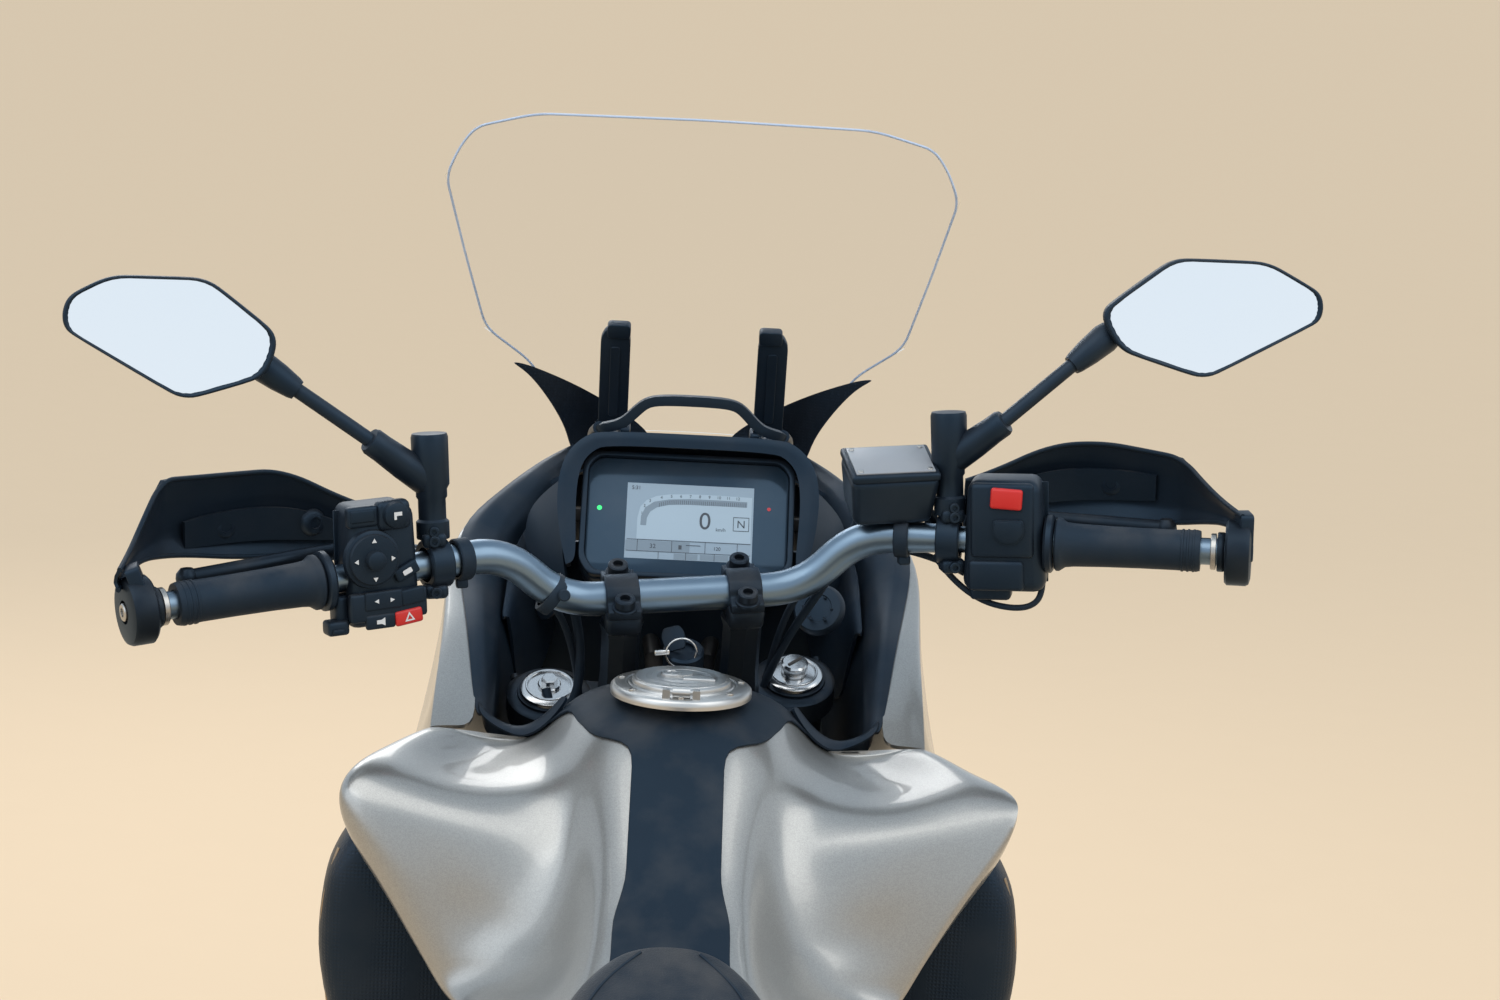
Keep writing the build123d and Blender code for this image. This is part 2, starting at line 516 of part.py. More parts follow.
def chain():
    """The drive chain: one loop whose edges are scalloped link by link, round both sprockets."""
    big, small = (CHAIN_PITCH / (2 * sin(pi / n)) for n in (SPROCKET_TEETH, PINION_TEETH))
    ry, rz = REAR_AXLE.Y, REAR_AXLE.Z
    dy, dz = PINION_Y - ry, PINION_Z - rz
    span = (dy * dy + dz * dz) ** 0.5
    tilt, open_angle = atan2(dz, dy), atan2((big - small), (span * span - (big - small) ** 2) ** 0.5)
    up = tilt + pi / 2 - open_angle
    down = tilt - pi / 2 + open_angle
    run = (span * span - (big - small) ** 2) ** 0.5
    lengths = [run, small * (pi - 2 * open_angle), run, big * (pi + 2 * open_angle)]
    total = sum(lengths)
    count = 2 * round(total / CHAIN_PITCH / 2)

    def place(s):
        """The point at a length s along the loop, and the outward angle there."""
        s = s % total
        if s < lengths[0]:
            t = s / lengths[0]
            a = up
            start = (ry + big * cos(a), rz + big * sin(a))
            end = (PINION_Y + small * cos(a), PINION_Z + small * sin(a))
            return start[0] + (end[0] - start[0]) * t, start[1] + (end[1] - start[1]) * t, a
        s -= lengths[0]
        if s < lengths[1]:
            a = up - s / small
            return PINION_Y + small * cos(a), PINION_Z + small * sin(a), a
        s -= lengths[1]
        if s < lengths[2]:
            t = s / lengths[2]
            a = down
            start = (PINION_Y + small * cos(a), PINION_Z + small * sin(a))
            end = (ry + big * cos(a), rz + big * sin(a))
            return start[0] + (end[0] - start[0]) * t, start[1] + (end[1] - start[1]) * t, a
        a = down - (s - lengths[2]) / big
        return ry + big * cos(a), rz + big * sin(a), a

    outer, inner = [], []
    for k in range(2 * count):
        y, z, a = place(total * k / (2 * count))
        reach = CHAIN_H / 2 if k % 2 else CHAIN_H / 2 - 2.2
        outer.append((y + reach * cos(a), z + reach * sin(a)))
        inner.append((y - reach * cos(a), z - reach * sin(a)))
    plane = Plane(origin=(CHAIN_X - CHAIN_W / 2, 0, 0), x_dir=(0, 1, 0), z_dir=(1, 0, 0))
    loop = plate(plane, outer, CHAIN_W) - plate(plane, inner, CHAIN_W)
    tooth_room = Plane(origin=(CHAIN_X - 4.5, 0, 0), x_dir=(0, 1, 0), z_dir=(1, 0, 0))
    return loop - extrude(tooth_room * Pos(ry, rz) * Circle(big + 6.0), 9.0)


PARTS["frame"] = frame()
PARTS["engine"] = engine()
PARTS["radiator"] = radiator()
PARTS["exhaust"] = exhaust()
PARTS["silencer"] = silencer()
PARTS["skid_plate"] = skid_plate()
PARTS["swingarm"] = swingarm()
PARTS["shock"] = shock()
PARTS["chain"] = chain()

# Tank, seat and tail

TANK = [
    (361, [(60, 1057), (92, 1034), (130, 997), (208, 1010), (217, 984), (150, 940), (96, 926)]),
    (256, [(44, 1046), (88, 1018), (165, 1000), (252, 1004), (254, 968), (178, 888), (104, 872)]),
    (214, [(42, 1011.4), (80, 984), (150, 965), (258, 978), (260, 955), (190, 868), (106, 860.5)]),
    (200, [(42, 999.9), (80, 945), (114, 904), (178, 904), (186, 892), (160, 864), (105.6, 856.9)]),
    (188, [(43, 990.2), (78, 926), (100, 890), (120, 878), (128, 868), (122, 856), (104.6, 854.4)]),
    (130, [(45, 943), (66, 930), (84, 890), (104, 870), (114, 860), (112, 848), (100, 842)]),
    (30, [(40, 892), (60, 886), (88, 868), (118, 856), (130, 842), (120, 812), (90, 803)]),
]


def fuel_tank():
    """The tank with its raised middle, valleys and outer wings, and the sunk neck below the filler flap."""
    body = hull_along("y", TANK)
    neck = rod((0, FILLER_Y, FILLER_Z - 90), (0, FILLER_Y, FILLER_Z + 20), NECK_R)
    seat = rod((0, FILLER_Y, FILLER_Z - 30), (0, FILLER_Y, FILLER_Z - RING_T), FILLER_R - 2)
    flat = rod((0, FILLER_Y, FILLER_Z - RING_T), (0, FILLER_Y, FILLER_Z + 40), FILLER_R + 4)
    return body + seat - flat - neck


def tank_cover():
    """The thin centre cover that runs over the tank from the steering to the seat, open at the filler."""
    lift = 0.8
    stations = [(246, 36, 1038.4 + lift), (205, 36, 1004 + lift), (130, 42, 943 + lift), (78, 40, 916.5 + lift)]
    return skin([(y, [(w, z), (-w, z)]) for y, w, z in stations], (0, WALL))


HINGE_Y, HINGE_Z, PIN_R = FILLER_Y - FLAP_R - 8.0, FILLER_Z + 8.2, 2.0


def filler_ring():
    """The fixed filler ring with its sunk seat and the two hinge eyes behind the flap."""
    base = FILLER_Z - RING_T + SEAT_GAP
    ring = rod((0, FILLER_Y, base), (0, FILLER_Y, FILLER_Z), FILLER_R)
    ring += rod((0, FILLER_Y, FILLER_Z), (0, FILLER_Y, FILLER_Z + 3), FILLER_R - 3, FILLER_R - 5)
    ring -= rod((0, FILLER_Y, base - 1), (0, FILLER_Y, FILLER_Z + 9), NECK_R)
    eyes = [
        Pos(s * 12, HINGE_Y + 1, FILLER_Z + 4.5) * Box(6, 9, 12) for s in (-1, 1)
    ]
    ring = fuse([ring, *eyes])
    return ring - rod((-20, HINGE_Y, HINGE_Z), (20, HINGE_Y, HINGE_Z), PIN_R + RUNNING_CLEARANCE)


def filler_cap():
    """The hinged flap with its lock boss, its tongue to the hinge and the pin."""
    base = FILLER_Z + 3 + SEAT_GAP
    flap = rod((0, FILLER_Y, base), (0, FILLER_Y, base + FLAP_T), FLAP_R, FLAP_R - 3)
    plug = rod((0, FILLER_Y, base - 12), (0, FILLER_Y, base), NECK_R - 6)
    lock = rod((0, FILLER_Y + 6, base + FLAP_T), (0, FILLER_Y + 6, base + FLAP_T + 2), 9)
    tongue = Pos(0, HINGE_Y + 9.5, base + 3) * Box(14, 17, 6)
    barrel = rod((-7, HINGE_Y, HINGE_Z), (7, HINGE_Y, HINGE_Z), 4.5)
    pin = rod((-15, HINGE_Y, HINGE_Z), (15, HINGE_Y, HINGE_Z), PIN_R)
    return fuse([flap, plug, lock, tongue, barrel, pin])


def seat():
    """Rider's and passenger's cushions as plain closed bodies. The nose of the front one lies on the tank."""
    nose = hull_along(
        "y",
        [
            (74, [(26, 926), (34, 922), (38, 915.4)]),
            (52, [(46, 914), (58, 908), (60, 904.2)]),
            (28, [(54, 906), (76, 898), (78, 892.8)]),
        ],
    )
    rider = hull_along(
        "y",
        [
            (28, [(54, 906), (82, 890), (98, 866), (94, 834), (66, 822)]),
            (-60, [(64, 868), (108, 858), (130, 836), (126, 815), (86, 806)]),
            (-200, [(84, 832), (142, 828), (160, 810), (152, 796), (100, 790)]),
            (-330, [(88, 838), (146, 834), (160, 818), (150, 806), (100, 800)]),
        ],
    )
    passenger = hull_along(
        "y",
        [
            (-330.3, [(92, 872), (130, 866), (146, 846), (140, 822), (100, 812)]),
            (-480, [(100, 892), (138, 886), (148, 866), (138, 846), (98, 836)]),
            (-640, [(90, 898), (118, 893), (126, 880), (118, 870), (88, 864)]),
        ],
    )
    return together(nose + rider, passenger)


def tail_fairing():
    """Two side panels below the seat, joined behind it by a rear cowl."""
    line = [
        (-150, [(166, 806), (178, 776), (168, 722)]),
        (-330, [(166, 806), (176, 778), (152, 742)]),
        (-600, [(140, 858), (150, 830), (128, 786)]),
        (-800, [(104, 882), (114, 862), (92, 826)]),
        (-880, [(70, 888), (76, 872), (64, 850)]),
    ]
    side = skin(line, (-WALL, 0))
    rear = hull_along("y", [(-876, [(69, 888), (75, 872), (62, 850)]), (-884, [(66, 886), (72, 872), (60, 852)])])
    side = fuse([side, rod((142, -620, 833), (108.4, -620, 833), 7), rod((172, -250, 764), (150.2, -250, 764), 6)])
    return fuse([side, mirrored(side), rear])


def grab_rack():
    """A slotted rear carrier on two posts, with a grab rail each side."""
    top = 906.0
    outline = [(-112, -655), (112, -655), (118, -780), (84, -925), (-84, -925), (-118, -780)]
    deck = plate(Plane.XY.offset(top - 8), outline, 8, 14)
    slots = [Pos(0, y, top) * Box(w, 14, 40) for y, w in ((-700, 120), (-740, 130), (-780, 130), (-820, 110))]
    deck -= fuse(slots)
    holes = [Pos(x, y, top) * Cylinder(3.3, 40) for x in (-88, 88) for y in (-690, -800)]
    deck -= fuse(holes)
    rail = pipe([(100, -664, top - 9), (150, -676, top - 6), (158, -760, top - 4), (146, -850, top - 4), (92, -880, top - 8)], 9, 30)
    posts = [rod((s * 60, -800, 877 + SEAT_GAP), (s * 60, -800, top - 7), 8) for s in (-1, 1)]
    return fuse([deck, rail, mirrored(rail), *posts])


def tail_light():
    """A red lamp across the rear cowl, below the carrier."""
    lens = hull_along("y", [(-884.3, [(56, 884), (60, 872), (48, 858)]), (-900, [(50, 880), (54, 871), (44, 861)])], 3)
    return lens


def rear_mudguard():
    """The plate carrier: an arm from the tail, the upright board, and a narrow guard over the tyre."""
    arm = extrude(
        face_of([(-24, -790, 822), (-24, -860, 849.7), (-24, -896, 849.7), (-24, -1080, 700), (-24, -1094, 650), (-24, -1060, 650)]),
        48,
        dir=(1, 0, 0),
    )
    board = Plane(origin=(0, -1094, 640), x_dir=(1, 0, 0), z_dir=(0, -1, 0))
    panel = plate(board, [(-92, -82), (92, -82), (92, 52), (-92, 52)], 5, 8)
    holes = [board * Pos(x, y) * Circle(2.6) for x in (-60, 60) for y in (-60, 30)]
    panel -= extrude(Sketch() + holes, 12, both=True)
    return fuse([arm, panel])


def foot_controls():
    """Rider's and passenger's footpegs on their hangers, the gear lever and the brake pedal."""
    pieces = []
    for s in (-1, 1):
        hanger = side_plate(
            s * (PIVOT_HALF + FRAME_TUBE_R + SEAT_GAP), [(-208, 470), (-170, 500), (-110, 470), (-112, 380), (-96, 330), (-140, 318), (-208, 390)], s * 8, 8
        )
        peg = rod((s * (PIVOT_HALF + 20), -118, 342), (s * 262, -124, 340), 12)
        treads = [rod((s * x, -120, 342), (s * (x + 5), -120, 342), 16) for x in range(190, 260, 12)]
        pieces.append(fuse([hanger, peg, *treads]))
        loop = side_plate(
            s * 148.3,
            [(-290, 612), (-330, 556), (-400, 512), (-440, 506), (-468, 520), (-466, 556), (-430, 680), (-420, 712), (-392, 700)],
            s * 8,
            8,
        )
        window = side_plate(s * 140, [(-330, 612), (-404, 540), (-444, 540), (-408, 672)], s * 30, 6)
        boss = rod((s * 149, -416, 690), (s * 134, -416, 690), 8)
        rear_peg = rod((s * 150, -440, 532), (s * 232, -450, 532), 12)
        pieces.append(fuse([loop - window, rear_peg, boss]))
    gear = fuse(
        [
            *chain_of_rods([(-170, -126, 392), (-174, 10, 330), (-176, 70, 340)], 6),
            rod((-176, 70, 340), (-214, 72, 342), 8),
        ]
    )
    brake = fuse(
        [
            *chain_of_rods([(171, -126, 356), (178, 20, 300), (182, 60, 318)], 7),
            Pos(196, 68, 322) * Rot(12, 0, 0) * Box(40, 26, 9),
        ]
    )
    pieces[0] = pieces[0] + gear
    pieces[2] = pieces[2] + brake
    return together(*pieces)


# Fairings and cockpit


def side_fairing():
    """The painted panel from the tank's front corner up to the screen and round to the nose."""
    panel = skin(
        [
            (376, [(166, 1012), (205, 1012), (211, 985), (258, 880), (250, 800)]),
            (475, [(176, 1073), (204, 1072), (212, 1000), (258, 872), (252, 790)]),
            (560, [(190, 1094), (210, 1093), (214, 1030), (250, 872), (244, 800)]),
            (620, [(196, 1133), (206, 1131), (214, 1064), (242, 880), (236, 820)]),
            (760, [(128, 1172), (142, 1168), (208, 1064), (206, 950), (190, 880)]),
            (880, [(80, 1150), (98, 1142), (132, 1070), (136, 980), (114, 930)]),
        ],
        (-WALL, -WALL),
    )
    return panel + Pos(185, 378.9, 1002) * Box(16, 35.2, 40)


def shroud():
    """The dark panel beside the radiator, below the tank's wing."""
    panel = skin(
        [
            (140, [(236, 892), (256, 876), (244, 800), (212, 760)]),
            (250, [(262, 950), (282, 928), (276, 830), (232, 720)]),
            (370, [(254, 930), (276, 900), (270, 800), (226, 660)]),
            (376, [(250, 786), (266, 780), (262, 720), (226, 655)]),
            (470, [(238, 768), (258, 766), (250, 716), (216, 620)]),
        ],
        (-WALL, -WALL / 2),
    )
    lugs = fuse([rod((x, y, 900), (160, y, 900), 7) for x, y in ((271, 225), (276, 330))])
    return panel + (lugs - Pos(0.4, 0, 0) * fuel_tank())


def nose_fairing():
    """The front cowl as a thin shell: brow above, lamp opening, and a short beak below."""
    outer = [
        (700, [(96, 1180), (150, 1150), (176, 1060), (170, 930), (120, 860)]),
        (800, [(76, 1180), (116, 1146), (156, 1056), (150, 930), (100, 866)]),
        (900, [(60, 1128), (92, 1104), (104, 1040), (96, 950), (60, 890)]),
        (960, [(30, 1040), (52, 1026), (60, 990), (52, 930), (30, 900)]),
    ]
    inner = [
        (y - (5 if y > 900 else 0), [(max(x - 6, 8), z + (-5 if z > 1000 else 5)) for x, z in half]) for y, half in outer
    ]
    inner[0] = (699, inner[0][1])
    shell = hull_along("y", outer) - hull_along("y", inner)
    lamp = Pos(0, 940, 985) * Box(260, 160, 58 + 2 * SEAT_GAP)
    beak = hull_along("y", [(880, [(56, 888), (60, 872)]), (1010, [(34, 842), (36, 834)]), (1060, [(12, 822), (14, 818)])])
    ties = [Pos(0, 712, 1128) * Box(298, 8, 14), Pos(0, 720, 1060) * Box(402.8, 8, 14)]
    return fuse([shell - lamp, beak, *ties])


def headlight():
    """Two lamp units behind one clear lens, filling the opening in the nose."""
    body = hull_along(
        "y",
        [
            (880, [(106, 1014), (110, 985), (104, 956)]),
            (930, [(76, 1014), (80, 985), (73, 956)]),
            (958, [(52, 1012), (55, 985), (48, 957)]),
        ],
    )
    return body


SCREEN = [
    (1186, 113, 824, 852),
    (1256, 155, 792, 832),
    (1290, 197, 762, 815),
    (1437, 232, 672, 742),
    (1483, 205, 660, 716),
    (1497, 150, 680, 708),
]


def screen_sheet(front, back):
    """The screen's curved sheet, from a distance ahead of its outer face to a distance behind it."""
    faces = []
    for z, half, edge_y, middle_y in SCREEN:
        outer = ThreePointArc((-half, edge_y + front, z), (0, middle_y + front, z), (half, edge_y + front, z))
        inner = ThreePointArc((half, edge_y - back, z), (0, middle_y - back, z), (-half, edge_y - back, z))
        ends = [Line(outer @ 1, inner @ 0), Line(inner @ 1, outer @ 0)]
        faces.append(make_face(Wire([outer, ends[0], inner, ends[1]])).faces()[0])
    return loft(faces, ruled=True)


def windshield():
    """The clear touring screen: a curved sheet, widest near its top, leaning back over the display."""
    return screen_sheet(0, WALL)


def screen_carrier():
    """Two slotted posts behind the screen, their pads, and the bent bar above the display."""
    posts = []
    for s in (-1, 1):
        low, high = Vector(s * 74, 806, 1190), Vector(s * 71, 768, 1304)
        plane = Plane(origin=low, x_dir=(1, 0, 0), z_dir=(high - low))
        post = extrude(plane * RectangleRounded(28, 8, 3), (high - low).length)
        pads = [rod(at, at + Vector(s * 6, 50, 14), 9) for at in (low + (high - low) * 0.45, low + (high - low) * 0.9)]
        posts.append(fuse([post, *pads]))
    bar = pipe([(-88, 720, 1196), (-86, 604, 1226), (-36, 600, 1254), (36, 600, 1254), (86, 604, 1226), (88, 720, 1196)], 6, 16)
    tie = rod((-88, 716, 1196), (88, 716, 1196), 6)
    foot = [rod((s * 74, 716, 1196), (s * 74, 806, 1196), 6) for s in (-1, 1)]
    foot += [rod((s * 74, y, 1180 + SEAT_GAP), (s * 74, y, 1196), 8) for s in (-1, 1) for y in (724, 786)]
    return fuse([*posts, bar, tie, *foot]) - screen_sheet(60, WALL + SEAT_GAP)


def dash_plane(depth=0.0):
    tilt = radians(DASH_TILT)
    plane = Plane(origin=(0, DASH_Y, DASH_Z), x_dir=(1, 0, 0), z_dir=(0, -cos(tilt), sin(tilt)))
    return plane.offset(depth)


def dash_housing():
    """The display's case with its hood, its recess, and the arm that carries it from the nose."""
    w, h = DASH_W / 2, DASH_H / 2
    case = plate(dash_plane(-30), [(-w - 8, -h - 8), (w + 8, -h - 8), (w + 12, h + 8), (-w - 12, h + 8)], 30, 8)
    hood = plate(dash_plane(-30), [(-w - 20, 8), (-w - 12, h + 16), (w + 12, h + 16), (w + 20, 8), (w + 8, h - 4), (-w - 8, h - 4)], 46, 3)
    recess = plate(dash_plane(-4 - SEAT_GAP), [(-w - 0.3, -h - 0.3), (w + 0.3, -h - 0.3), (w + 0.3, h + 0.3), (-w - 0.3, h + 0.3)], 60, 6)
    arm = Pos(0, 632, 1150) * Box(130, 96, 14)
    return fuse([case - recess, hood - recess, arm])


def dash_screen():
    """The glass of the display."""
    w, h = DASH_W / 2, DASH_H / 2
    return plate(dash_plane(-4), [(-w, -h), (w, -h), (w, h), (-w, h)], 4, 6)


def indicators():
    """Four turn signals on short stalks: two beside the nose and two on the plate carrier."""
    front = rod((242.4, 610, 850), (262, 610, 850), 6) + Pos(274, 610, 850) * Sphere(14)
    rear = rod((24.3, -1020, 740), (110, -1024, 738), 6) + Pos(122, -1024, 738) * Sphere(14)
    return together(pair(front), pair(rear))


# Steered pieces, drawn with the steering straight


def yokes():
    """Both fork yokes on the steering stem, and the tall risers that clamp the handlebar."""
    outline = [
        (-142, 26), (-142, 60), (-118, 78), (-40, 50), (40, 50), (118, 78), (142, 60), (142, 26), (112, 8), (46, -28),
        (-46, -28), (-112, 8),
    ]
    upper = plate(Plane(origin=on_head(0, 0, -YOKE_T), x_dir=(1, 0, 0), z_dir=UP), outline, YOKE_T, 10)
    lower = plate(
        Plane(origin=on_head(0, 0, -LOWER_YOKE_DROP - YOKE_T), x_dir=(1, 0, 0), z_dir=UP), outline, YOKE_T, 10
    )
    bores = []
    for s in (-1, 1):
        x = s * FORK_SPREAD
        bores.append(rod(on_head(x, FORK_OFFSET, -300), on_head(x, FORK_OFFSET, 40), FORK_TUBE_R + SEAT_GAP))
    stem = rod(on_head(0, 0, -LOWER_YOKE_DROP - YOKE_T), on_head(0, 0, 4), STEM_R)
    nut = rod(on_head(0, 0, 0), on_head(0, 0, 9), 19)
    risers = []
    for s in (-1, 1):
        foot, top = on_head(s * CLAMP_HALF, 10, -2), BAR + Vector(s * CLAMP_HALF, 0, -8)
        risers.append(rod(foot, top, 21, 17))
        risers.append(box(BAR + UP * 3 + Vector(s * CLAMP_HALF, 0, 0), (34, 52, 30), (RAKE, 0, 0), 7))
    cut = rod(on_bar(-90, 0, 0), on_bar(90, 0, 0), BAR_R + SEAT_GAP)
    return fuse([upper, lower, stem, nut, *risers]) - fuse(bores) - cut


def fork_tubes():
    """The outer tubes of the fork with their caps."""
    tubes = []
    for s in (-1, 1):
        x = s * FORK_SPREAD
        tube = rod(on_head(x, FORK_OFFSET, TUBE_END), on_head(x, FORK_OFFSET, CAP_RISE), FORK_TUBE_R)
        tube += rod(on_head(x, FORK_OFFSET, CAP_RISE), on_head(x, FORK_OFFSET, CAP_RISE + 5), 18, 16)
        tube += rod(on_head(x, FORK_OFFSET, TUBE_END - 8), on_head(x, FORK_OFFSET, TUBE_END + 10), FORK_TUBE_R + 3)
        lug_in = s * (GUARD_PAD_X + SEAT_GAP)
        tube += rod(on_head(lug_in, FORK_OFFSET, GUARD_LUG), on_head(s * 84, FORK_OFFSET, GUARD_LUG), 10)
        tubes.append(tube - rod(on_head(x, FORK_OFFSET, TUBE_END - 20), on_head(x, FORK_OFFSET, TUBE_END + 160), FORK_LEG_R + RUNNING_CLEARANCE))
    return together(*tubes)


def fork_legs():
    """The inner legs with their axle clamps and the caliper lugs, and the front axle through them."""
    pieces = []
    for s in (-1, 1):
        x = s * FORK_SPREAD
        pieces.append(rod(on_head(x, FORK_OFFSET, -FORK_LENGTH), on_head(x, FORK_OFFSET, TUBE_END + 150), FORK_LEG_R))
        pieces.append(rod(FRONT_AXLE + Vector(x - 19, 0, 0), FRONT_AXLE + Vector(x + 19, 0, 0), 27))
        reach = FORK_OFFSET - CALIPER_BACK + CALIPER_D / 2 + SEAT_GAP
        for height in (CALIPER_UP - 38, CALIPER_UP + 38):
            up = -FORK_LENGTH + height
            pieces.append(rod(on_head(s * 90, reach, up), on_head(s * 90, FORK_OFFSET, up), 8))
    axle = rod(FRONT_AXLE - Vector(FORK_SPREAD, 0, 0), FRONT_AXLE + Vector(FORK_SPREAD, 0, 0), AXLE_R)
    return fuse([*pieces, axle])


def grip_point(x, side, ahead=0.0, up=0.0):
    """A point on the straight outer part of the handlebar at a distance x from its middle."""
    share = (x - BAR_KINK[0]) / (BAR_TIP[0] - BAR_KINK[0])
    y = BAR_KINK[1] + (BAR_TIP[1] - BAR_KINK[1]) * share
    z = BAR_KINK[2] + (BAR_TIP[2] - BAR_KINK[2]) * share
    return on_bar(side * x, y + ahead, z + up)


def handlebar():
    """A tapered bar: thick in the clamps, bent up and back, thin under the grips, with its end weights."""
    middle = pipe(
        [
            grip_point(160, -1), on_bar(-BAR_KINK[0], BAR_KINK[1], BAR_KINK[2]), on_bar(-BAR_FLAT, 0, 0),
            on_bar(BAR_FLAT, 0, 0), on_bar(BAR_KINK[0], BAR_KINK[1], BAR_KINK[2]), grip_point(160, 1),
        ],
        BAR_R,
        30,
    )
    ends = []
    for s in (-1, 1):
        ends.append(rod(grip_point(159, s), grip_point(222, s), BAR_R, BAR_END_R))
        ends.append(rod(grip_point(221, s), grip_point(BAR_HALF, s), BAR_END_R))
        ends.append(rod(grip_point(GRIP_OUT + 3, s), grip_point(GRIP_OUT + 34, s), 15.5, 14))
    return fuse([middle, *ends])


def grips():
    """The two rubber grips with their inner flanges."""
    pieces = []
    for s in (-1, 1):
        grip = rod(grip_point(GRIP_IN, s), grip_point(GRIP_OUT, s), GRIP_R)
        grip += rod(grip_point(GRIP_IN, s), grip_point(GRIP_IN + 5, s), GRIP_R + 4)
        pieces.append(grip - rod(grip_point(GRIP_IN - 9, s), grip_point(GRIP_OUT + 9, s), BAR_END_R + SEAT_GAP))
    return together(*pieces)


def switchgear():
    """The control pods beside the grips, clamped round the bar."""
    pods = []
    for s, x, z, high in ((-1, 252, 5, 96), (1, 258, 6, 92)):
        at = grip_point(x, s, 4, z)
        pod = Pos(*at) * Rot(0, 0, -s * 20) * fillet(Box(58, 46, high).edges(), 7)
        pods.append(pod - rod(grip_point(200, s), grip_point(320, s), BAR_END_R + SEAT_GAP))
    return together(*pods)


PERCH_X = {-1: 206.0, 1: 219.0}


def levers():
    """Clutch and brake levers on their perches ahead of the grips, and the brake fluid pot."""
    pieces = []
    for s in (-1, 1):
        x = PERCH_X[s]
        perch = rod(grip_point(x - 10, s), grip_point(x + 9, s), 20)
        body = rod(grip_point(x, s, 12), grip_point(x + 4, s, 48, -2), 10, 9)
        blade = chain_of_rods(
            [grip_point(x + 4, s, 44, -2), grip_point(256, s, 66, -4), grip_point(330, s, 56, -6), grip_point(404, s, 62, -8)], 6.5
        )
        pieces.append(fuse([perch, body, *blade, ball(grip_point(404, s, 62, -8), 9)]))
    pot = Pos(*on_bar(171, -26, 92)) * fillet(Box(70, 52, 36).edges().filter_by(Axis.Z), 10)
    pot += rod(on_bar(176, -20, 76), grip_point(214, 1, 32, 2), 6)
    pieces[1] = pieces[1] + pot
    gap = SEAT_GAP
    cores = [
        rod(grip_point(159, s), grip_point(222, s), BAR_R + gap, BAR_END_R + gap)
        + rod(grip_point(221, s), grip_point(250, s), BAR_END_R + gap)
        for s in (-1, 1)
    ]
    return together(*[piece - core for piece, core in zip(pieces, cores)])


def hand_guards():
    """Wrapped guards ahead of the grips, held at the bar ends and by an inner arm."""
    pieces = []
    for s in (-1, 1):
        lines = [
            [on_bar(s * 260, 36, 24), on_bar(s * 260, 36, 82)],
            [on_bar(s * 322, 30, 27), on_bar(s * 322, 28, 115)],
            [on_bar(s * 401, -6, 37), on_bar(s * 401, -10, 121)],
            [on_bar(s * 444, -56, 43), on_bar(s * 442, -60, 103)],
            [on_bar(s * 455, -128, 23), on_bar(s * 455, -128, 63)],
        ]
        shell = sheet(lines, (-s * 2.6, -2.6, 0))
        end = rod(grip_point(GRIP_OUT + 34 + SEAT_GAP, s), grip_point(GRIP_OUT + 47, s), 12)
        pieces.append(shell + end)
    return together(*pieces)


MIRROR_LEFT = [(-495, 1384), (-440, 1410), (-378, 1406), (-322, 1356), (-331, 1331), (-397, 1313)]
MIRROR_RIGHT = [(334, 1352), (400, 1392), (470, 1388), (525, 1352), (500, 1312), (424, 1294)]


def shrunk(outline, share):
    cx = sum(p[0] for p in outline) / len(outline)
    cy = sum(p[1] for p in outline) / len(outline)
    return [(cx + (x - cx) * share, cy + (y - cy) * share) for x, y in outline]


def mirrors():
    """Both mirrors: post, link, stem and the tapered head with its recess."""
    pieces = []
    for s, outline, link, stem_end in (
        (-1, MIRROR_LEFT, (-249, 350, 1268), (-362, 354, 1350)),
        (1, MIRROR_RIGHT, (256, 340, 1262), (374, 354, 1338)),
    ):
        head = extrude(face_of([(x, 340, z) for x, z in outline], 14), 36, dir=(0, 1, 0), taper=14)
        recess = extrude(face_of([(x, 344, z) for x, z in shrunk(outline, 0.94)], 12), 20, dir=(0, -1, 0))
        foot = grip_point(PERCH_X[s], s, 0, 20.7)
        elbow, link = foot + Vector(0, 4, 74), Vector(*link)
        post = rod(foot, elbow, 9)
        arm = [rod(elbow, link, 8)]
        arm += [rod(at - Vector(0, 11, 0), at + Vector(0, 11, 0), 11) for at in (elbow, link)]
        stem = rod(link, Vector(*stem_end), 6.5)
        pieces.append(fuse([head - recess, post, *arm, stem]))
    return together(*pieces)


def mirror_glass():
    """The two mirror plates in their recesses."""
    glasses = []
    for outline in (MIRROR_LEFT, MIRROR_RIGHT):
        points = shrunk(outline, 0.93)
        glasses.append(extrude(face_of([(x, 344 - SEAT_GAP, z) for x, z in points], 12), 2, dir=(0, -1, 0)))
    return together(*glasses)


def front_mudguard():
    """A guard over the front tyre with side stays to the fork."""
    inner = FRONT_TYRE_R + GUARD_CLEARANCE
    outer = inner + WALL
    ring = [(-66, inner - 24), (-40, inner), (40, inner), (66, inner - 24), (69, inner - 22), (42, outer), (-42, outer), (-69, inner - 22)]
    arch = revolve(make_face(Polyline(*[(x, r, 0) for x, r in ring], close=True)), Axis.X, 126)
    arch = Pos(*FRONT_AXLE) * Rot(38, 0, 0) * arch
    pads = [rod(on_head(s * 61, FORK_OFFSET, GUARD_LUG), on_head(s * GUARD_PAD_X, FORK_OFFSET, GUARD_LUG), 14) for s in (-1, 1)]
    return fuse([arch, *pads])


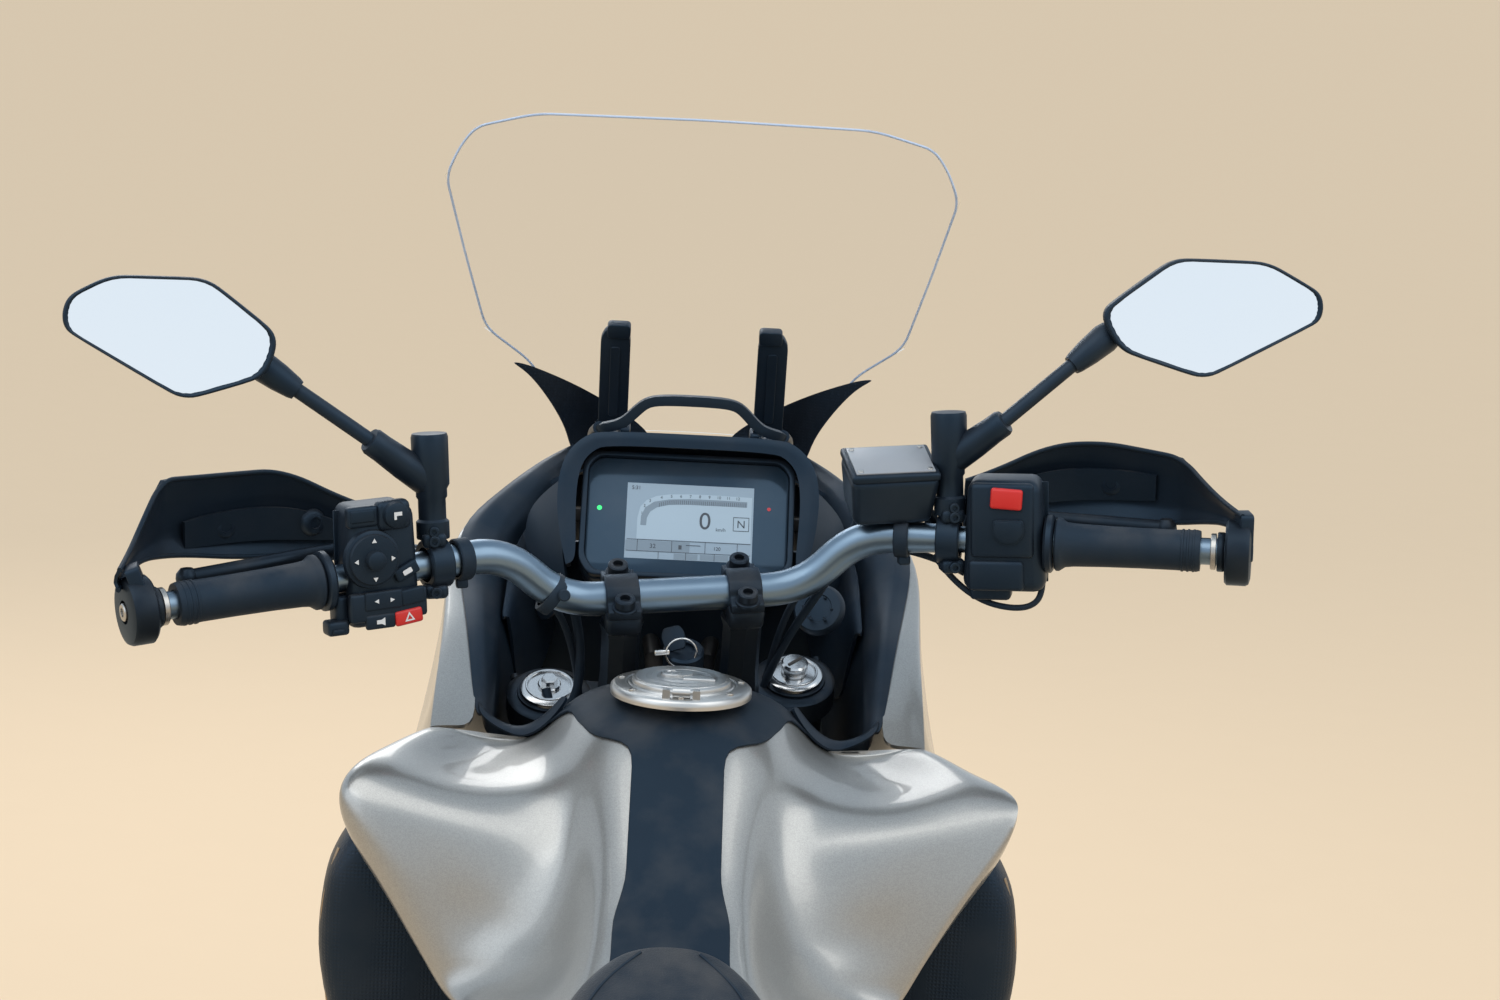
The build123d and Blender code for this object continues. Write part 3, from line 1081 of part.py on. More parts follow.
def calipers():
    """Brake calipers behind the fork legs, open over the discs."""
    pieces = []
    for s in (-1, 1):
        at = on_head(s * 74, FORK_OFFSET - CALIPER_BACK, -FORK_LENGTH + CALIPER_UP)
        block = Pos(*at) * Rot(RAKE, 0, 0) * fillet(Box(44, CALIPER_D, 118).edges().filter_by(Axis.X), 12)
        slot = Pos(*FRONT_AXLE) * rod((s * FRONT_DISC_X - 7.5, 0, 0), (s * FRONT_DISC_X + 7.5, 0, 0), 166)
        pieces.append(block - slot)
    return together(*pieces)


def centre_stand():
    """Two legs from the pivot pins, a cross tube, wide feet and the tang on the left."""
    py, pz = STAND_PIVOT_Y, STAND_PIVOT_Z
    fy = py + STAND_FOOT_AHEAD
    pieces = []
    for s in (-1, 1):
        pieces.append(rod((s * STAND_CHEEK_IN, py, pz), (s * STAND_CHEEK_OUT, py, pz), 17))
        pieces.append(rod((s * STAND_CHEEK_IN, py, pz), (s * (STAND_LUG_OUT - 1), py, pz), STAND_PIN_R))
        pieces.extend(chain_of_rods([(s * 113, py, pz - 4), (s * 114, py + 8, pz - 96), (s * STAND_FOOT_X, fy, 14)], STAND_TUBE_R))
        pieces.append(Pos(s * (STAND_FOOT_X + 6), fy, FOOT_T / 2) * fillet(Box(56, 62, FOOT_T).edges().filter_by(Axis.Z), 14))
    pieces.append(rod((-108, py + 8, pz - 92), (108, py + 8, pz - 92), 11))
    tang = chain_of_rods([(-122, py + 16, 120), (-176, py - 20, 96), (-196, py - 60, 90)], 8)
    return fuse([*pieces, *tang])


def side_stand():
    """The folded side stand: eye, tapered leg and foot."""
    pivot, along, axis = Vector(*SIDE_PIVOT), Vector(*SIDE_FOLDED), Vector(*SIDE_AXIS)
    eye = rod(pivot - axis * 12, pivot + axis * 12, 16)
    leg = rod(pivot + along * 8, pivot + along * SIDE_LENGTH, SIDE_TUBE_R + 2, SIDE_TUBE_R)
    foot = rod(pivot + along * (SIDE_LENGTH - 8), pivot + along * (SIDE_LENGTH + 6), 24, 22)
    return fuse([eye, leg, foot]) - rod(pivot - axis * 20, pivot + axis * 20, SIDE_PIN_R + RUNNING_CLEARANCE)


PARTS["fuel_tank"] = fuel_tank()
PARTS["tank_cover"] = tank_cover()
PARTS["filler_ring"] = filler_ring()
PARTS["filler_cap"] = filler_cap()
PARTS["seat"] = seat()
PARTS["tail_fairing"] = tail_fairing()
PARTS["grab_rack"] = grab_rack()
PARTS["tail_light"] = tail_light()
PARTS["rear_mudguard"] = rear_mudguard()
PARTS["foot_controls"] = foot_controls()
PARTS["side_fairings"] = pair(side_fairing())
PARTS["shrouds"] = pair(shroud())
PARTS["nose_fairing"] = nose_fairing()
PARTS["headlight"] = headlight()
PARTS["windshield"] = windshield()
PARTS["screen_carrier"] = screen_carrier()
PARTS["dash_housing"] = dash_housing()
PARTS["dash_screen"] = dash_screen()
PARTS["indicators"] = indicators()
PARTS["centre_stand"] = centre_stand()
PARTS["side_stand"] = side_stand()

STEERED = {
    "yokes": yokes(),
    "fork_tubes": fork_tubes(),
    "fork_legs": fork_legs(),
    "handlebar": handlebar(),
    "grips": grips(),
    "switchgear": switchgear(),
    "levers": levers(),
    "hand_guards": hand_guards(),
    "mirrors": mirrors(),
    "mirror_glass": mirror_glass(),
    "front_mudguard": front_mudguard(),
    "calipers": calipers(),
}
for name in ("front_rim", "front_tyre", "front_discs"):
    STEERED[name] = PARTS.pop(name)
for name, shape in STEERED.items():
    PARTS[name] = shape.rotate(STEERING_AXIS, REST_STEER)

os.makedirs("parts", exist_ok=True)
for name, shape in PARTS.items():
    export_step(Compound(list(shape.solids())), f"parts/{name}.step")
    print(name, len(shape.solids()), round(shape.volume / 1e6, 3), "litres")
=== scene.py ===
# The sport touring motorcycle dressed for its portrait: paint, plastics, metals, rubber and glass over the CAD frame,
# with smooth panels, controls, display, seat and small fittings. Tables are in millimetres, the scene in metres.
import math

import bmesh
import bpy
from mathutils import Matrix, Vector
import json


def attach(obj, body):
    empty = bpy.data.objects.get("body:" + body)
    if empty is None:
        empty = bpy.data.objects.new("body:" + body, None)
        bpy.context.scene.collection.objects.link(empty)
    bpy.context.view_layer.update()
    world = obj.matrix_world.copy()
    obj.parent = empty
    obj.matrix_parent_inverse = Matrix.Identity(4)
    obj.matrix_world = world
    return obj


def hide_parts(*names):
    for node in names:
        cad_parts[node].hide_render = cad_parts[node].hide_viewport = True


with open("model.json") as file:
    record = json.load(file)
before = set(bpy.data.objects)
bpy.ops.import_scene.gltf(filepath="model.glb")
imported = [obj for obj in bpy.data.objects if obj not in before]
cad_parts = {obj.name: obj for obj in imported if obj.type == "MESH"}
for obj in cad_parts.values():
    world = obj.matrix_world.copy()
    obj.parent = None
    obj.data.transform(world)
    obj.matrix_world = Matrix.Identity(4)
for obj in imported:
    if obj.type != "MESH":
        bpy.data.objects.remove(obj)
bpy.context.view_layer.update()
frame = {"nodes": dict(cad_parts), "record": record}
node = frame["nodes"]
MM = 0.001
WELD = 0.02 * MM
SIDES = (-1, 1)
ACROSS = (1, 0, 0)

# The steering frame, as in the part's source: head, bar centre and the rest angle.
RAKE, REST_STEER = math.radians(25.5), math.radians(9.4)
UP = Vector((0, -math.sin(RAKE), math.cos(RAKE)))
AHEAD = Vector((0, math.cos(RAKE), math.sin(RAKE)))
FRONT_AXLE = Vector((0, 802, 329))
REAR_AXLE = Vector((0, -729, 336))
HEAD = FRONT_AXLE + UP * 771 - AHEAD * 40
BAR = HEAD + UP * 120.5 + AHEAD * 15.3
TURN = Matrix.Translation(HEAD * MM) @ Matrix.Rotation(REST_STEER, 4, UP) @ Matrix.Translation(-HEAD * MM)
RISER_X, FORK_X, FORK_AHEAD = 51, 106, 40


def on_bar(x, y, z):
    return BAR + Vector((x, y, z))


def on_head(x, ahead, up):
    return HEAD + AHEAD * ahead + UP * up + Vector((x, 0, 0))


def grip_point(x, side, ahead=0.0, up=0.0):
    """A point of the bar's straight outer part, which runs from 146 to 424 mm off the middle."""
    share = (x - 146) / 278
    return on_bar(side * x, -14 - 104 * share + ahead, 46 - 8 * share + up)


# Working with one object at a time


def only(obj):
    bpy.ops.object.select_all(action="DESELECT")
    obj.select_set(True)
    bpy.context.view_layer.objects.active = obj


def edit(obj, mode="FACE"):
    only(obj)
    bpy.ops.object.mode_set(mode="EDIT")
    bpy.ops.mesh.select_mode(type=mode)
    bpy.ops.mesh.select_all(action="DESELECT")


def done():
    bpy.ops.object.mode_set(mode="OBJECT")


def everything():
    bpy.ops.mesh.select_all(action="SELECT")


def weld():
    """Joins corners that meet and turns every face outwards, in edit mode."""
    everything()
    bpy.ops.mesh.remove_doubles(threshold=WELD)
    bpy.ops.mesh.normals_make_consistent(inside=False)


def pick(obj, test, kind="FACE"):
    """Selects the faces or edges that pass the test, in edit mode."""
    mesh = bmesh.from_edit_mesh(obj.data)
    for item in {"FACE": mesh.faces, "EDGE": mesh.edges}[kind]:
        item.select_set(bool(test(item)))
    mesh.select_flush_mode()
    bmesh.update_edit_mesh(obj.data)


def settle(obj):
    """Puts an object's place, turn and size into its mesh."""
    only(obj)
    bpy.ops.object.transform_apply(location=True, rotation=True, scale=True)


def modify(obj, kind, **settings):
    modifier = obj.modifiers.new(kind.lower(), kind)
    for key, value in settings.items():
        setattr(modifier, key, value)
    only(obj)
    bpy.ops.object.modifier_apply(modifier=modifier.name)
    return obj


def divided(obj, levels):
    return modify(obj, "SUBSURF", levels=levels, render_levels=levels) if levels else obj


def soften(obj, width, segments=3, angle=30):
    """Rounds the sharp edges."""
    limit = math.radians(angle)
    return modify(obj, "BEVEL", width=width * MM, segments=segments, limit_method="ANGLE", angle_limit=limit)


def wall(obj, thickness, offset=-1.0):
    return modify(obj, "SOLIDIFY", thickness=thickness * MM, offset=offset, use_even_offset=True)


def carried(obj, matrix):
    obj.data.transform(matrix)
    return obj


def raised(obj, height):
    return carried(obj, Matrix.Translation((0, 0, height * MM)))


def place(obj, to, x_axis=ACROSS, z_axis=(0, 0, 1)):
    """Carries a mesh drawn about the origin to a point, with its own X and Z along the given directions."""
    z = Vector(z_axis).normalized()
    x = Vector(x_axis)
    x = (x - z * x.dot(z)).normalized()
    turn = Matrix((x, z.cross(x), z)).transposed().to_4x4()
    return carried(obj, Matrix.Translation(Vector(to) * MM) @ turn)


def on_yoke(obj, x, ahead, up):
    return place(obj, on_head(x, ahead, up), ACROSS, UP)


def along(x, side, piece, ahead=0.0, up=0.0):
    """Puts a piece drawn along Z on the straight outer part of the bar, pointing outwards."""
    outwards = grip_point(x + 10, side) - grip_point(x, side)
    return place(piece, grip_point(x, side, ahead, up), (0, 0, 1), outwards)


def merge(pieces):
    """Joins a list of finished pieces into one object. A single piece stays as it is."""
    if not isinstance(pieces, list):
        return pieces
    bpy.ops.object.select_all(action="DESELECT")
    for piece in pieces:
        piece.select_set(True)
    bpy.context.view_layer.objects.active = pieces[0]
    bpy.ops.object.join()
    return pieces[0]


def mirrored(obj):
    """A copy on the other side of the motorcycle, with its own mesh turned the right way out."""
    twin = obj.copy()
    twin.data = obj.data.copy()
    bpy.context.scene.collection.objects.link(twin)
    carried(twin, Matrix.Scale(-1, 4, ACROSS)).data.flip_normals()
    return twin


# Shapes that many pieces start from


def block(size, bevel=2.0, segments=3):
    """A cuboid about the origin with its edges bevelled."""
    bpy.ops.mesh.primitive_cube_add(size=1)
    obj = bpy.context.object
    obj.scale = Vector(size) * MM
    settle(obj)
    edit(obj, "EDGE")
    everything()
    bpy.ops.mesh.bevel(offset=bevel * MM, segments=segments, affect="EDGES", clamp_overlap=True)
    done()
    return obj


def turned(profile, steps=40):
    """A turned piece about Z: the profile of (radius, height) is spun a full turn."""
    bpy.ops.mesh.primitive_plane_add(size=1)
    obj = bpy.context.object
    edit(obj, "VERT")
    everything()
    bpy.ops.mesh.delete(type="VERT")
    mesh = bmesh.from_edit_mesh(obj.data)
    corners = [mesh.verts.new((r * MM, 0, z * MM)) for r, z in profile]
    for a, b in zip(corners, corners[1:]):
        mesh.edges.new((a, b))
    bmesh.update_edit_mesh(obj.data)
    everything()
    bpy.ops.mesh.spin(steps=steps, angle=2 * math.pi, center=(0, 0, 0), axis=(0, 0, 1))
    weld()
    done()
    return obj


def disc_of(outer, height, edge=0.8, steps=40):
    return turned([(0, 0), (outer, 0), (outer, height - edge), (outer - edge, height), (0, height)], steps)


def bolt(radius, height, steps=20):
    """A socket head bolt: a turned head with its key hole."""
    r, h, cut = radius, height, 0.12 * radius
    rim = [(0, 0), (r, 0), (r, h - cut), (r - cut, h), (0.52 * r, h)]
    return turned(rim + [(0.5 * r, h - 0.1 * r), (0.5 * r, h * 0.5), (0, h * 0.45)], steps)


def flat(outline, depth, bevel=1.0, segments=2):
    """A plate drawn in X and Y and raised along Z, its edges bevelled."""
    bpy.ops.mesh.primitive_circle_add(vertices=len(outline), radius=1, fill_type="NGON")
    obj = bpy.context.object
    for corner, (x, y) in zip(obj.data.vertices, outline):
        corner.co = Vector((x, y, 0)) * MM
    edit(obj)
    everything()
    bpy.ops.mesh.extrude_region_move(TRANSFORM_OT_translate={"value": (0, 0, depth * MM)})
    everything()
    bpy.ops.mesh.normals_make_consistent(inside=False)
    done()
    return soften(obj, bevel, segments, 25) if bevel else obj


def panel(rows, levels=2, crease=(), edge_crease=0.0):
    """A curved sheet through rows of points: a grid whose corners are carried to their places and subdivided.
    crease lists columns (numbers) or rows (as 'r' and a number) that keep a sharper line."""
    across, along_rows = len(rows[0]), len(rows)
    bpy.ops.mesh.primitive_grid_add(x_subdivisions=across - 1, y_subdivisions=along_rows - 1, size=1)
    obj = bpy.context.object
    for k, corner in enumerate(obj.data.vertices):
        corner.co = Vector(rows[k // across][k % across]) * MM
    mesh = bmesh.new()
    mesh.from_mesh(obj.data)
    layer = mesh.edges.layers.float.new("crease_edge")
    for line in mesh.edges:
        a, b = (v.index for v in line.verts)
        column = a % across if a % across == b % across else None
        row = a // across if a // across == b // across else None
        for mark, value in crease:
            if column is not None and mark == column or row is not None and mark == f"r{row}":
                line[layer] = value
        if edge_crease and (column in (0, across - 1) or row in (0, along_rows - 1)):
            line[layer] = edge_crease
    mesh.to_mesh(obj.data)
    mesh.free()
    return divided(obj, levels)


def hull(rows, levels=2, crease=(), caps=True):
    """A closed body through rings of points: the last corner of each ring meets the first."""
    obj = panel([list(row) + [row[0]] for row in rows], 0, crease)
    edit(obj, "EDGE")
    everything()
    bpy.ops.mesh.remove_doubles(threshold=WELD)
    if caps:
        bpy.ops.mesh.select_all(action="DESELECT")
        bpy.ops.mesh.select_non_manifold(extend=False)
        bpy.ops.mesh.fill_holes(sides=0)
    everything()
    bpy.ops.mesh.normals_make_consistent(inside=False)
    done()
    return divided(obj, levels)


def both_sides(half):
    """A ring from half of one: (x, y, z) from the top middle to the bottom middle."""
    return list(half) + [(-x, y, z) for x, y, z in reversed(half) if x > 0.01]


def slices(*halves):
    """Rings from (y, half outline of (x, z)) cuts across the motorcycle. A third number moves a corner along Y."""
    return [both_sides([(x, y + sum(more), z) for x, z, *more in half]) for y, half in halves]


def sided(s, rows):
    """Rows of points drawn for the right, carried to side s."""
    return [[(s * x, y, z) for x, y, z in row] for row in rows]


def rounded(outline, radius, steps=3):
    """A closed outline with each corner rounded."""
    points = []
    for k in range(len(outline)):
        p, q, r = (Vector((*outline[(k + j) % len(outline)], 0)) for j in (-1, 0, 1))
        points += [(v.x, v.y) for v in bend(p, q, r, radius, steps)]
    return points


def bend(p, q, r, radius, steps):
    """Points of a smooth turn at q, between the lines to p and r."""
    reach = min(radius, (p - q).length * 0.45, (r - q).length * 0.45)
    a, b = q + (p - q).normalized() * reach, q + (r - q).normalized() * reach
    return [a * (1 - t) ** 2 + q * 2 * t * (1 - t) + b * t * t for t in [k / steps for k in range(steps + 1)]]


def bent(points, radius, steps=8):
    """An open line with each of its corners replaced by a smooth turn."""
    points = [Vector(p) for p in points]
    line = [points[0]]
    for p, q, r in zip(points, points[1:], points[2:]):
        line += bend(p, q, r, radius, steps)
    return line + [points[-1]]


def as_mesh(curve):
    obj = bpy.data.objects.new(curve.name, curve)
    bpy.context.scene.collection.objects.link(obj)
    only(obj)
    bpy.ops.object.convert(target="MESH")
    return bpy.context.object


def tube(points, radius, order=3, steps=8, sides=4):
    """A hose or rod along a smooth line, as a mesh."""
    curve = bpy.data.curves.new("line", "CURVE")
    curve.dimensions = "3D"
    curve.bevel_depth = radius * MM
    curve.bevel_resolution = sides
    curve.resolution_u = steps
    curve.use_fill_caps = True
    spline = curve.splines.new("NURBS")
    spline.points.add(len(points) - 1)
    for point, p in zip(spline.points, points):
        point.co = (*(Vector(p) * MM), 1)
    spline.order_u = order
    spline.use_endpoint_u = True
    return as_mesh(curve)


def lettering(text, size, depth):
    """Raised figures drawn about the origin, as a mesh."""
    curve = bpy.data.curves.new("figures", "FONT")
    curve.body = text
    curve.size = size * MM
    curve.extrude = depth * MM
    curve.align_x = "CENTER"
    curve.align_y = "CENTER"
    return as_mesh(curve)


# Effects shared by several finishes, as node groups


class Net:
    """A shader tree being put together. An input may be a value or another node's socket."""

    def __init__(self, tree):
        self.tree = tree

    def feed(self, item, inputs):
        for key, value in inputs.items():
            if isinstance(value, bpy.types.NodeSocket):
                self.tree.links.new(value, item.inputs[key])
            else:
                item.inputs[key].default_value = value
        return item

    def add(self, kind, inputs, **settings):
        item = self.tree.nodes.new("ShaderNode" + kind)
        for key, value in settings.items():
            setattr(item, key, value)
        return self.feed(item, inputs)

    def maths(self, operation, *values, **settings):
        return self.add("Math", dict(enumerate(values)), operation=operation, **settings).outputs[0]

    def ranged(self, value, low, high, to_low=0.0, to_high=1.0):
        return self.add("MapRange", dict(enumerate((value, low, high, to_low, to_high)))).outputs[0]

    def mixed(self, share, first, second):
        return self.add("Mix", {0: share, 6: first, 7: second}, data_type="RGBA").outputs[2]

    def noise(self, where, scale, detail, distortion=0.0):
        inputs = {"Vector": where, "Scale": scale, "Detail": detail, "Distortion": distortion}
        return self.add("TexNoise", inputs).outputs[0]

    def cells(self, where, scale, randomness=1.0, **settings):
        inputs = {"Vector": where, "Scale": scale, "Randomness": randomness}
        return self.add("TexVoronoi", inputs, **settings).outputs


def grain(net, given):
    """Moulded grain: small rounded bumps over a coarser unevenness."""
    coarse = net.noise(given["Vector"], 30.0, 4.0)
    bumps = net.maths("MULTIPLY", net.cells(given["Vector"], given["Scale"])["Distance"], coarse)
    return {"Height": net.maths("ADD", bumps, coarse)}


def dust(net, given):
    """Dust that settles where the surface looks up, broken by soft patches."""
    normal = net.add("NewGeometry", {}).outputs["Normal"]
    up = net.ranged(net.add("SeparateXYZ", {0: normal}).outputs[2], 0.1, 1.0, 0.15, 1.0)
    patches = net.ranged(net.noise(given["Vector"], given["Scale"], 6.0), 0.42, 0.72)
    return {"Mask": net.maths("MULTIPLY", net.maths("MULTIPLY", up, patches), given["Amount"])}


def tint(net, given):
    """Two close shades of one colour, wandering slowly over the surface, with dust laid on top."""
    drift = net.noise(given["Vector"], given["Scale"], 3.0)
    shade = net.mixed(drift, given["Colour"], given["Second colour"])
    return {"Colour": net.mixed(given["Dust"], shade, given["Dust colour"])}


def gloss(net, given):
    """Roughness with smears and fine scratches, dulled by dust."""
    smears = net.noise(given["Vector"], given["Scale"], 8.0, 0.6)
    value = net.ranged(smears, 0.3, 0.7, given["Low"], given["High"])
    return {"Roughness": net.maths("ADD", value, net.maths("MULTIPLY", given["Dust"], 0.4), use_clamp=True)}


def flake(net, given):
    """Metal flakes in paint: tiny cells, each a little lighter or darker, and a faint ripple."""
    value = net.add("SeparateColor", {0: net.cells(given["Vector"], given["Scale"])["Color"]}).outputs[0]
    spread = net.ranged(value, 0.0, 1.0, 0.0, given["Amount"])
    return {"Mask": spread, "Ripple": net.noise(given["Vector"], 120.0, 2.0)}


def drawn(net, given):
    """Fine drawn lines along one direction."""
    return {"Lines": net.noise(given["Vector"], given["Scale"], 5.0)}


def dimples(net, given):
    """A field of small round dimples, as on the screen's dark corners and the lower covers."""
    return {"Height": net.ranged(net.cells(given["Vector"], given["Scale"], 0.0)["Distance"], 0.25, 0.45)}


def spaced(inputs):
    """Values by socket names, from values by keywords."""
    return {key.replace("_", " "): value for key, value in inputs.items()}


def group(name, build, outputs, **inputs):
    """A shader node group. Inputs are given by their defaults, outputs by name; a colour is told by its kind."""
    tree = bpy.data.node_groups.new(name, "ShaderNodeTree")
    tree.interface.new_socket("Vector", in_out="INPUT", socket_type="NodeSocketVector")
    for label, value in spaced({"Scale": 20.0, **inputs}).items():
        kind = "NodeSocketColor" if isinstance(value, tuple) else "NodeSocketFloat"
        tree.interface.new_socket(label, in_out="INPUT", socket_type=kind).default_value = value
    for label in outputs:
        kind = "NodeSocketColor" if label == "Colour" else "NodeSocketFloat"
        tree.interface.new_socket(label, in_out="OUTPUT", socket_type=kind)
    start, end = tree.nodes.new("NodeGroupInput"), tree.nodes.new("NodeGroupOutput")
    net = Net(tree)
    net.feed(end, build(net, start.outputs))
    return tree


SHADES = {"Colour": (0.5, 0.5, 0.5, 1), "Second_colour": (0.4, 0.4, 0.4, 1), "Dust_colour": (0.45, 0.38, 0.3, 1)}
GROUPS = {
    "moulded grain": group("moulded grain", grain, ["Height"]),
    "settled dust": group("settled dust", dust, ["Mask"], Amount=0.2),
    "drifting tint": group("drifting tint", tint, ["Colour"], Dust=0.0, **SHADES),
    "smeared gloss": group("smeared gloss", gloss, ["Roughness"], Low=0.3, High=0.5, Dust=0.0),
    "metal flake": group("metal flake", flake, ["Mask", "Ripple"], Amount=0.3),
    "drawn lines": group("drawn lines", drawn, ["Lines"]),
    "dimples": group("dimples", dimples, ["Height"]),
}


class Finish(Net):
    """A material being put together: its principled shader and its object coordinates."""

    def __init__(self, name, metallic=0.0, **sockets):
        self.material = bpy.data.materials.new(name)
        self.material.use_nodes = True
        super().__init__(self.material.node_tree)
        self.shader = self.tree.nodes["Principled BSDF"]
        self.feed(self.shader, spaced(sockets) | {"Metallic": metallic})
        self.where = self.add("TexCoord", {}).outputs["Object"]

    def effect(self, name, **inputs):
        inputs = {"Vector": self.where, **inputs}
        item = self.add("Group", {}, node_tree=GROUPS[name])
        return self.feed(item, spaced(inputs)).outputs

    def stretched(self, *scale):
        return self.add("Mapping", {"Vector": self.where, "Scale": scale}).outputs[0]

    def tinted(self, scale, colour, second, film=0.0, dust_colour=SHADES["Dust_colour"]):
        shades = {"Colour": (*colour, 1), "Second_colour": (*second, 1), "Dust": film, "Dust_colour": dust_colour}
        return self.effect("drifting tint", Scale=scale, **shades)["Colour"]

    def surface(self, colour, second, rough, dusty=0.15, drift=9.0):
        """Colour with slow drift and dust, and roughness that follows both."""
        film = self.effect("settled dust", Scale=22.0, Amount=dusty)["Mask"]
        shade = self.tinted(drift, colour, second, film, (0.42, 0.36, 0.29, 1))
        rough = self.effect("smeared gloss", Scale=14.0, Low=rough[0], High=rough[1], Dust=film)["Roughness"]
        self.feed(self.shader, {"Base Color": shade, "Roughness": rough})
        return self

    def bump(self, height, strength=0.3, distance=0.4):
        bump = self.add("Bump", {"Height": height, "Strength": strength, "Distance": distance * MM})
        self.feed(self.shader, {"Normal": bump.outputs[0]})
        return self


COOL = {"Specular_Tint": (0.42, 0.68, 1.0, 1), "Specular_IOR_Level": 0.42}


def darker(colour, share):
    return tuple(share * c for c in colour)


def plain(name, colour, second, rough, grained=0.0, grain_size=900.0, dusty=0.1, **sockets):
    """A plastic or rubber: tint, smears, dust and moulded grain."""
    finish = Finish(name, **sockets).surface(colour, second, rough, dusty)
    if grained:
        finish.bump(finish.effect("moulded grain", Scale=grain_size)["Height"], grained)
    return finish.material


def cool(*details):
    """A dark plastic or rubber whose shine is tinted by the sky."""
    return plain(*details, **COOL)


def silver_paint():
    finish = Finish("silver metallic paint", 0.8, Coat_Weight=0.7, Coat_Roughness=0.05, Coat_IOR=1.5)
    flakes = finish.effect("metal flake", Scale=1600.0, Amount=0.16)
    film = finish.effect("settled dust", Scale=16.0, Amount=0.06)["Mask"]
    base = finish.tinted(3.0, (0.335, 0.335, 0.325), (0.305, 0.305, 0.297), film)
    shade = finish.mixed(flakes["Mask"], base, (0.80, 0.79, 0.76, 1))
    rough = finish.effect("smeared gloss", Scale=7.0, Low=0.31, High=0.38, Dust=film)["Roughness"]
    finish.feed(finish.shader, {"Base Color": shade, "Roughness": rough})
    return finish.bump(flakes["Ripple"], 0.04, 0.2).material


def bar_alloy():
    finish = Finish("anodised bar", 1.0).surface((0.19, 0.265, 0.345), (0.165, 0.235, 0.31), (0.30, 0.38), 0.04, 12.0)
    lines = finish.effect("drawn lines", Vector=finish.stretched(4, 60, 60), Scale=30.0)
    return finish.bump(lines["Lines"], 0.02, 0.05).material


def brushed_steel(name, colour, rough, heat=None):
    finish = Finish(name, 1.0).surface(colour, darker(colour, 0.82), rough, 0.08, 14.0)
    if heat:
        share = finish.ranged(finish.noise(finish.where, 6.0, 3.0), 0.4, 0.75, 0.0, 0.8)
        cold = finish.shader.inputs["Base Color"].links[0].from_socket
        finish.feed(finish.shader, {"Base Color": finish.mixed(share, cold, (*heat, 1))})
    lines = finish.effect("drawn lines", Vector=finish.stretched(60, 6, 60), Scale=24.0)
    return finish.bump(lines["Lines"], 0.15, 0.12).material


def cast_metal(name, colour, rough, depth=0.25):
    finish = Finish(name, 0.35, **COOL).surface(colour, darker(colour, 0.75), rough, 0.1)
    return finish.bump(finish.effect("moulded grain", Scale=700.0)["Height"], depth, 0.3).material


def seat_vinyl():
    finish = Finish("seat vinyl", Sheen_Weight=0.1, **COOL)
    finish.surface((0.012, 0.014, 0.018), (0.017, 0.019, 0.023), (0.42, 0.55), 0.12)
    creases = finish.cells(finish.where, 420.0, feature="DISTANCE_TO_EDGE")[0]
    return finish.bump(finish.ranged(creases, 0.0, 0.18), 0.35, 0.35).material


def dimpled_plastic():
    finish = Finish("dimpled cover", **COOL).surface((0.007, 0.010, 0.015), (0.010, 0.013, 0.019), (0.38, 0.5), 0.10)
    return finish.bump(finish.effect("dimples", Scale=330.0)["Height"], 0.45, 0.35).material


def screen_glass():
    """Clear plastic with a few specks of dirt."""
    finish = Finish("clear screen", Transmission_Weight=1.0, IOR=1.12, Roughness=0.0)
    specks = finish.cells(finish.where, 46.0)
    small = finish.maths("LESS_THAN", specks["Distance"], 0.055)
    few = finish.maths("GREATER_THAN", finish.add("SeparateColor", {0: specks["Color"]}).outputs[0], 0.90)
    dirt = finish.maths("MULTIPLY", small, few)
    shade = finish.mixed(dirt, (0.985, 0.99, 1.0, 1), (0.12, 0.06, 0.03, 1))
    haze = finish.ranged(dirt, 0.0, 1.0, 0.0, 0.8)
    finish.feed(finish.shader, {"Base Color": shade, "Roughness": haze})
    return finish.material


def lens(name, colour, rough, transmission):
    finish = Finish(name, Transmission_Weight=transmission, IOR=1.45, Coat_Weight=0.4)
    return finish.surface(colour, darker(colour, 0.8), (rough, rough + 0.06), 0.04).material


def tyre_rubber():
    """Tread drawn round the tyre from its own map: u runs round it, v across."""
    finish = Finish("tyre rubber").surface((0.012, 0.012, 0.012), (0.022, 0.021, 0.020), (0.62, 0.8), 0.3)
    spot = finish.add("SeparateXYZ", {0: finish.add("UVMap", {}, uv_map="round").outputs[0]}).outputs
    out = finish.maths("ABSOLUTE", finish.maths("SUBTRACT", spot[1], 0.5))
    slant = finish.maths("MULTIPLY_ADD", out, 0.16, spot[0])
    phase = finish.maths("FRACT", finish.maths("MULTIPLY", slant, 34.0))
    gap = finish.ranged(phase, 0.70, 0.76, 1.0, 0.0)
    shoulder = finish.ranged(out, 0.045, 0.055, 1.0, 0.0)
    tread = finish.ranged(out, 0.255, 0.26)
    height = finish.maths("MAXIMUM", finish.maths("MAXIMUM", gap, shoulder), tread)
    rings = finish.maths("SINE", finish.maths("MULTIPLY", out, 210.0))
    return finish.bump(finish.maths("MULTIPLY_ADD", rings, 0.04, height), 1.0, 5.0).material


def mirror_silver():
    return Finish("mirror face", 1.0).surface((0.95, 0.98, 1.0), (0.93, 0.97, 1.0), (0.015, 0.03), 0.01).material


def glow(name, colour, strength):
    finish = Finish(name, Roughness=0.35, Emission_Strength=strength)
    shade = finish.tinted(12.0, colour, darker(colour, 0.93))
    finish.feed(finish.shader, {"Base Color": shade, "Emission Color": shade})
    return finish.material


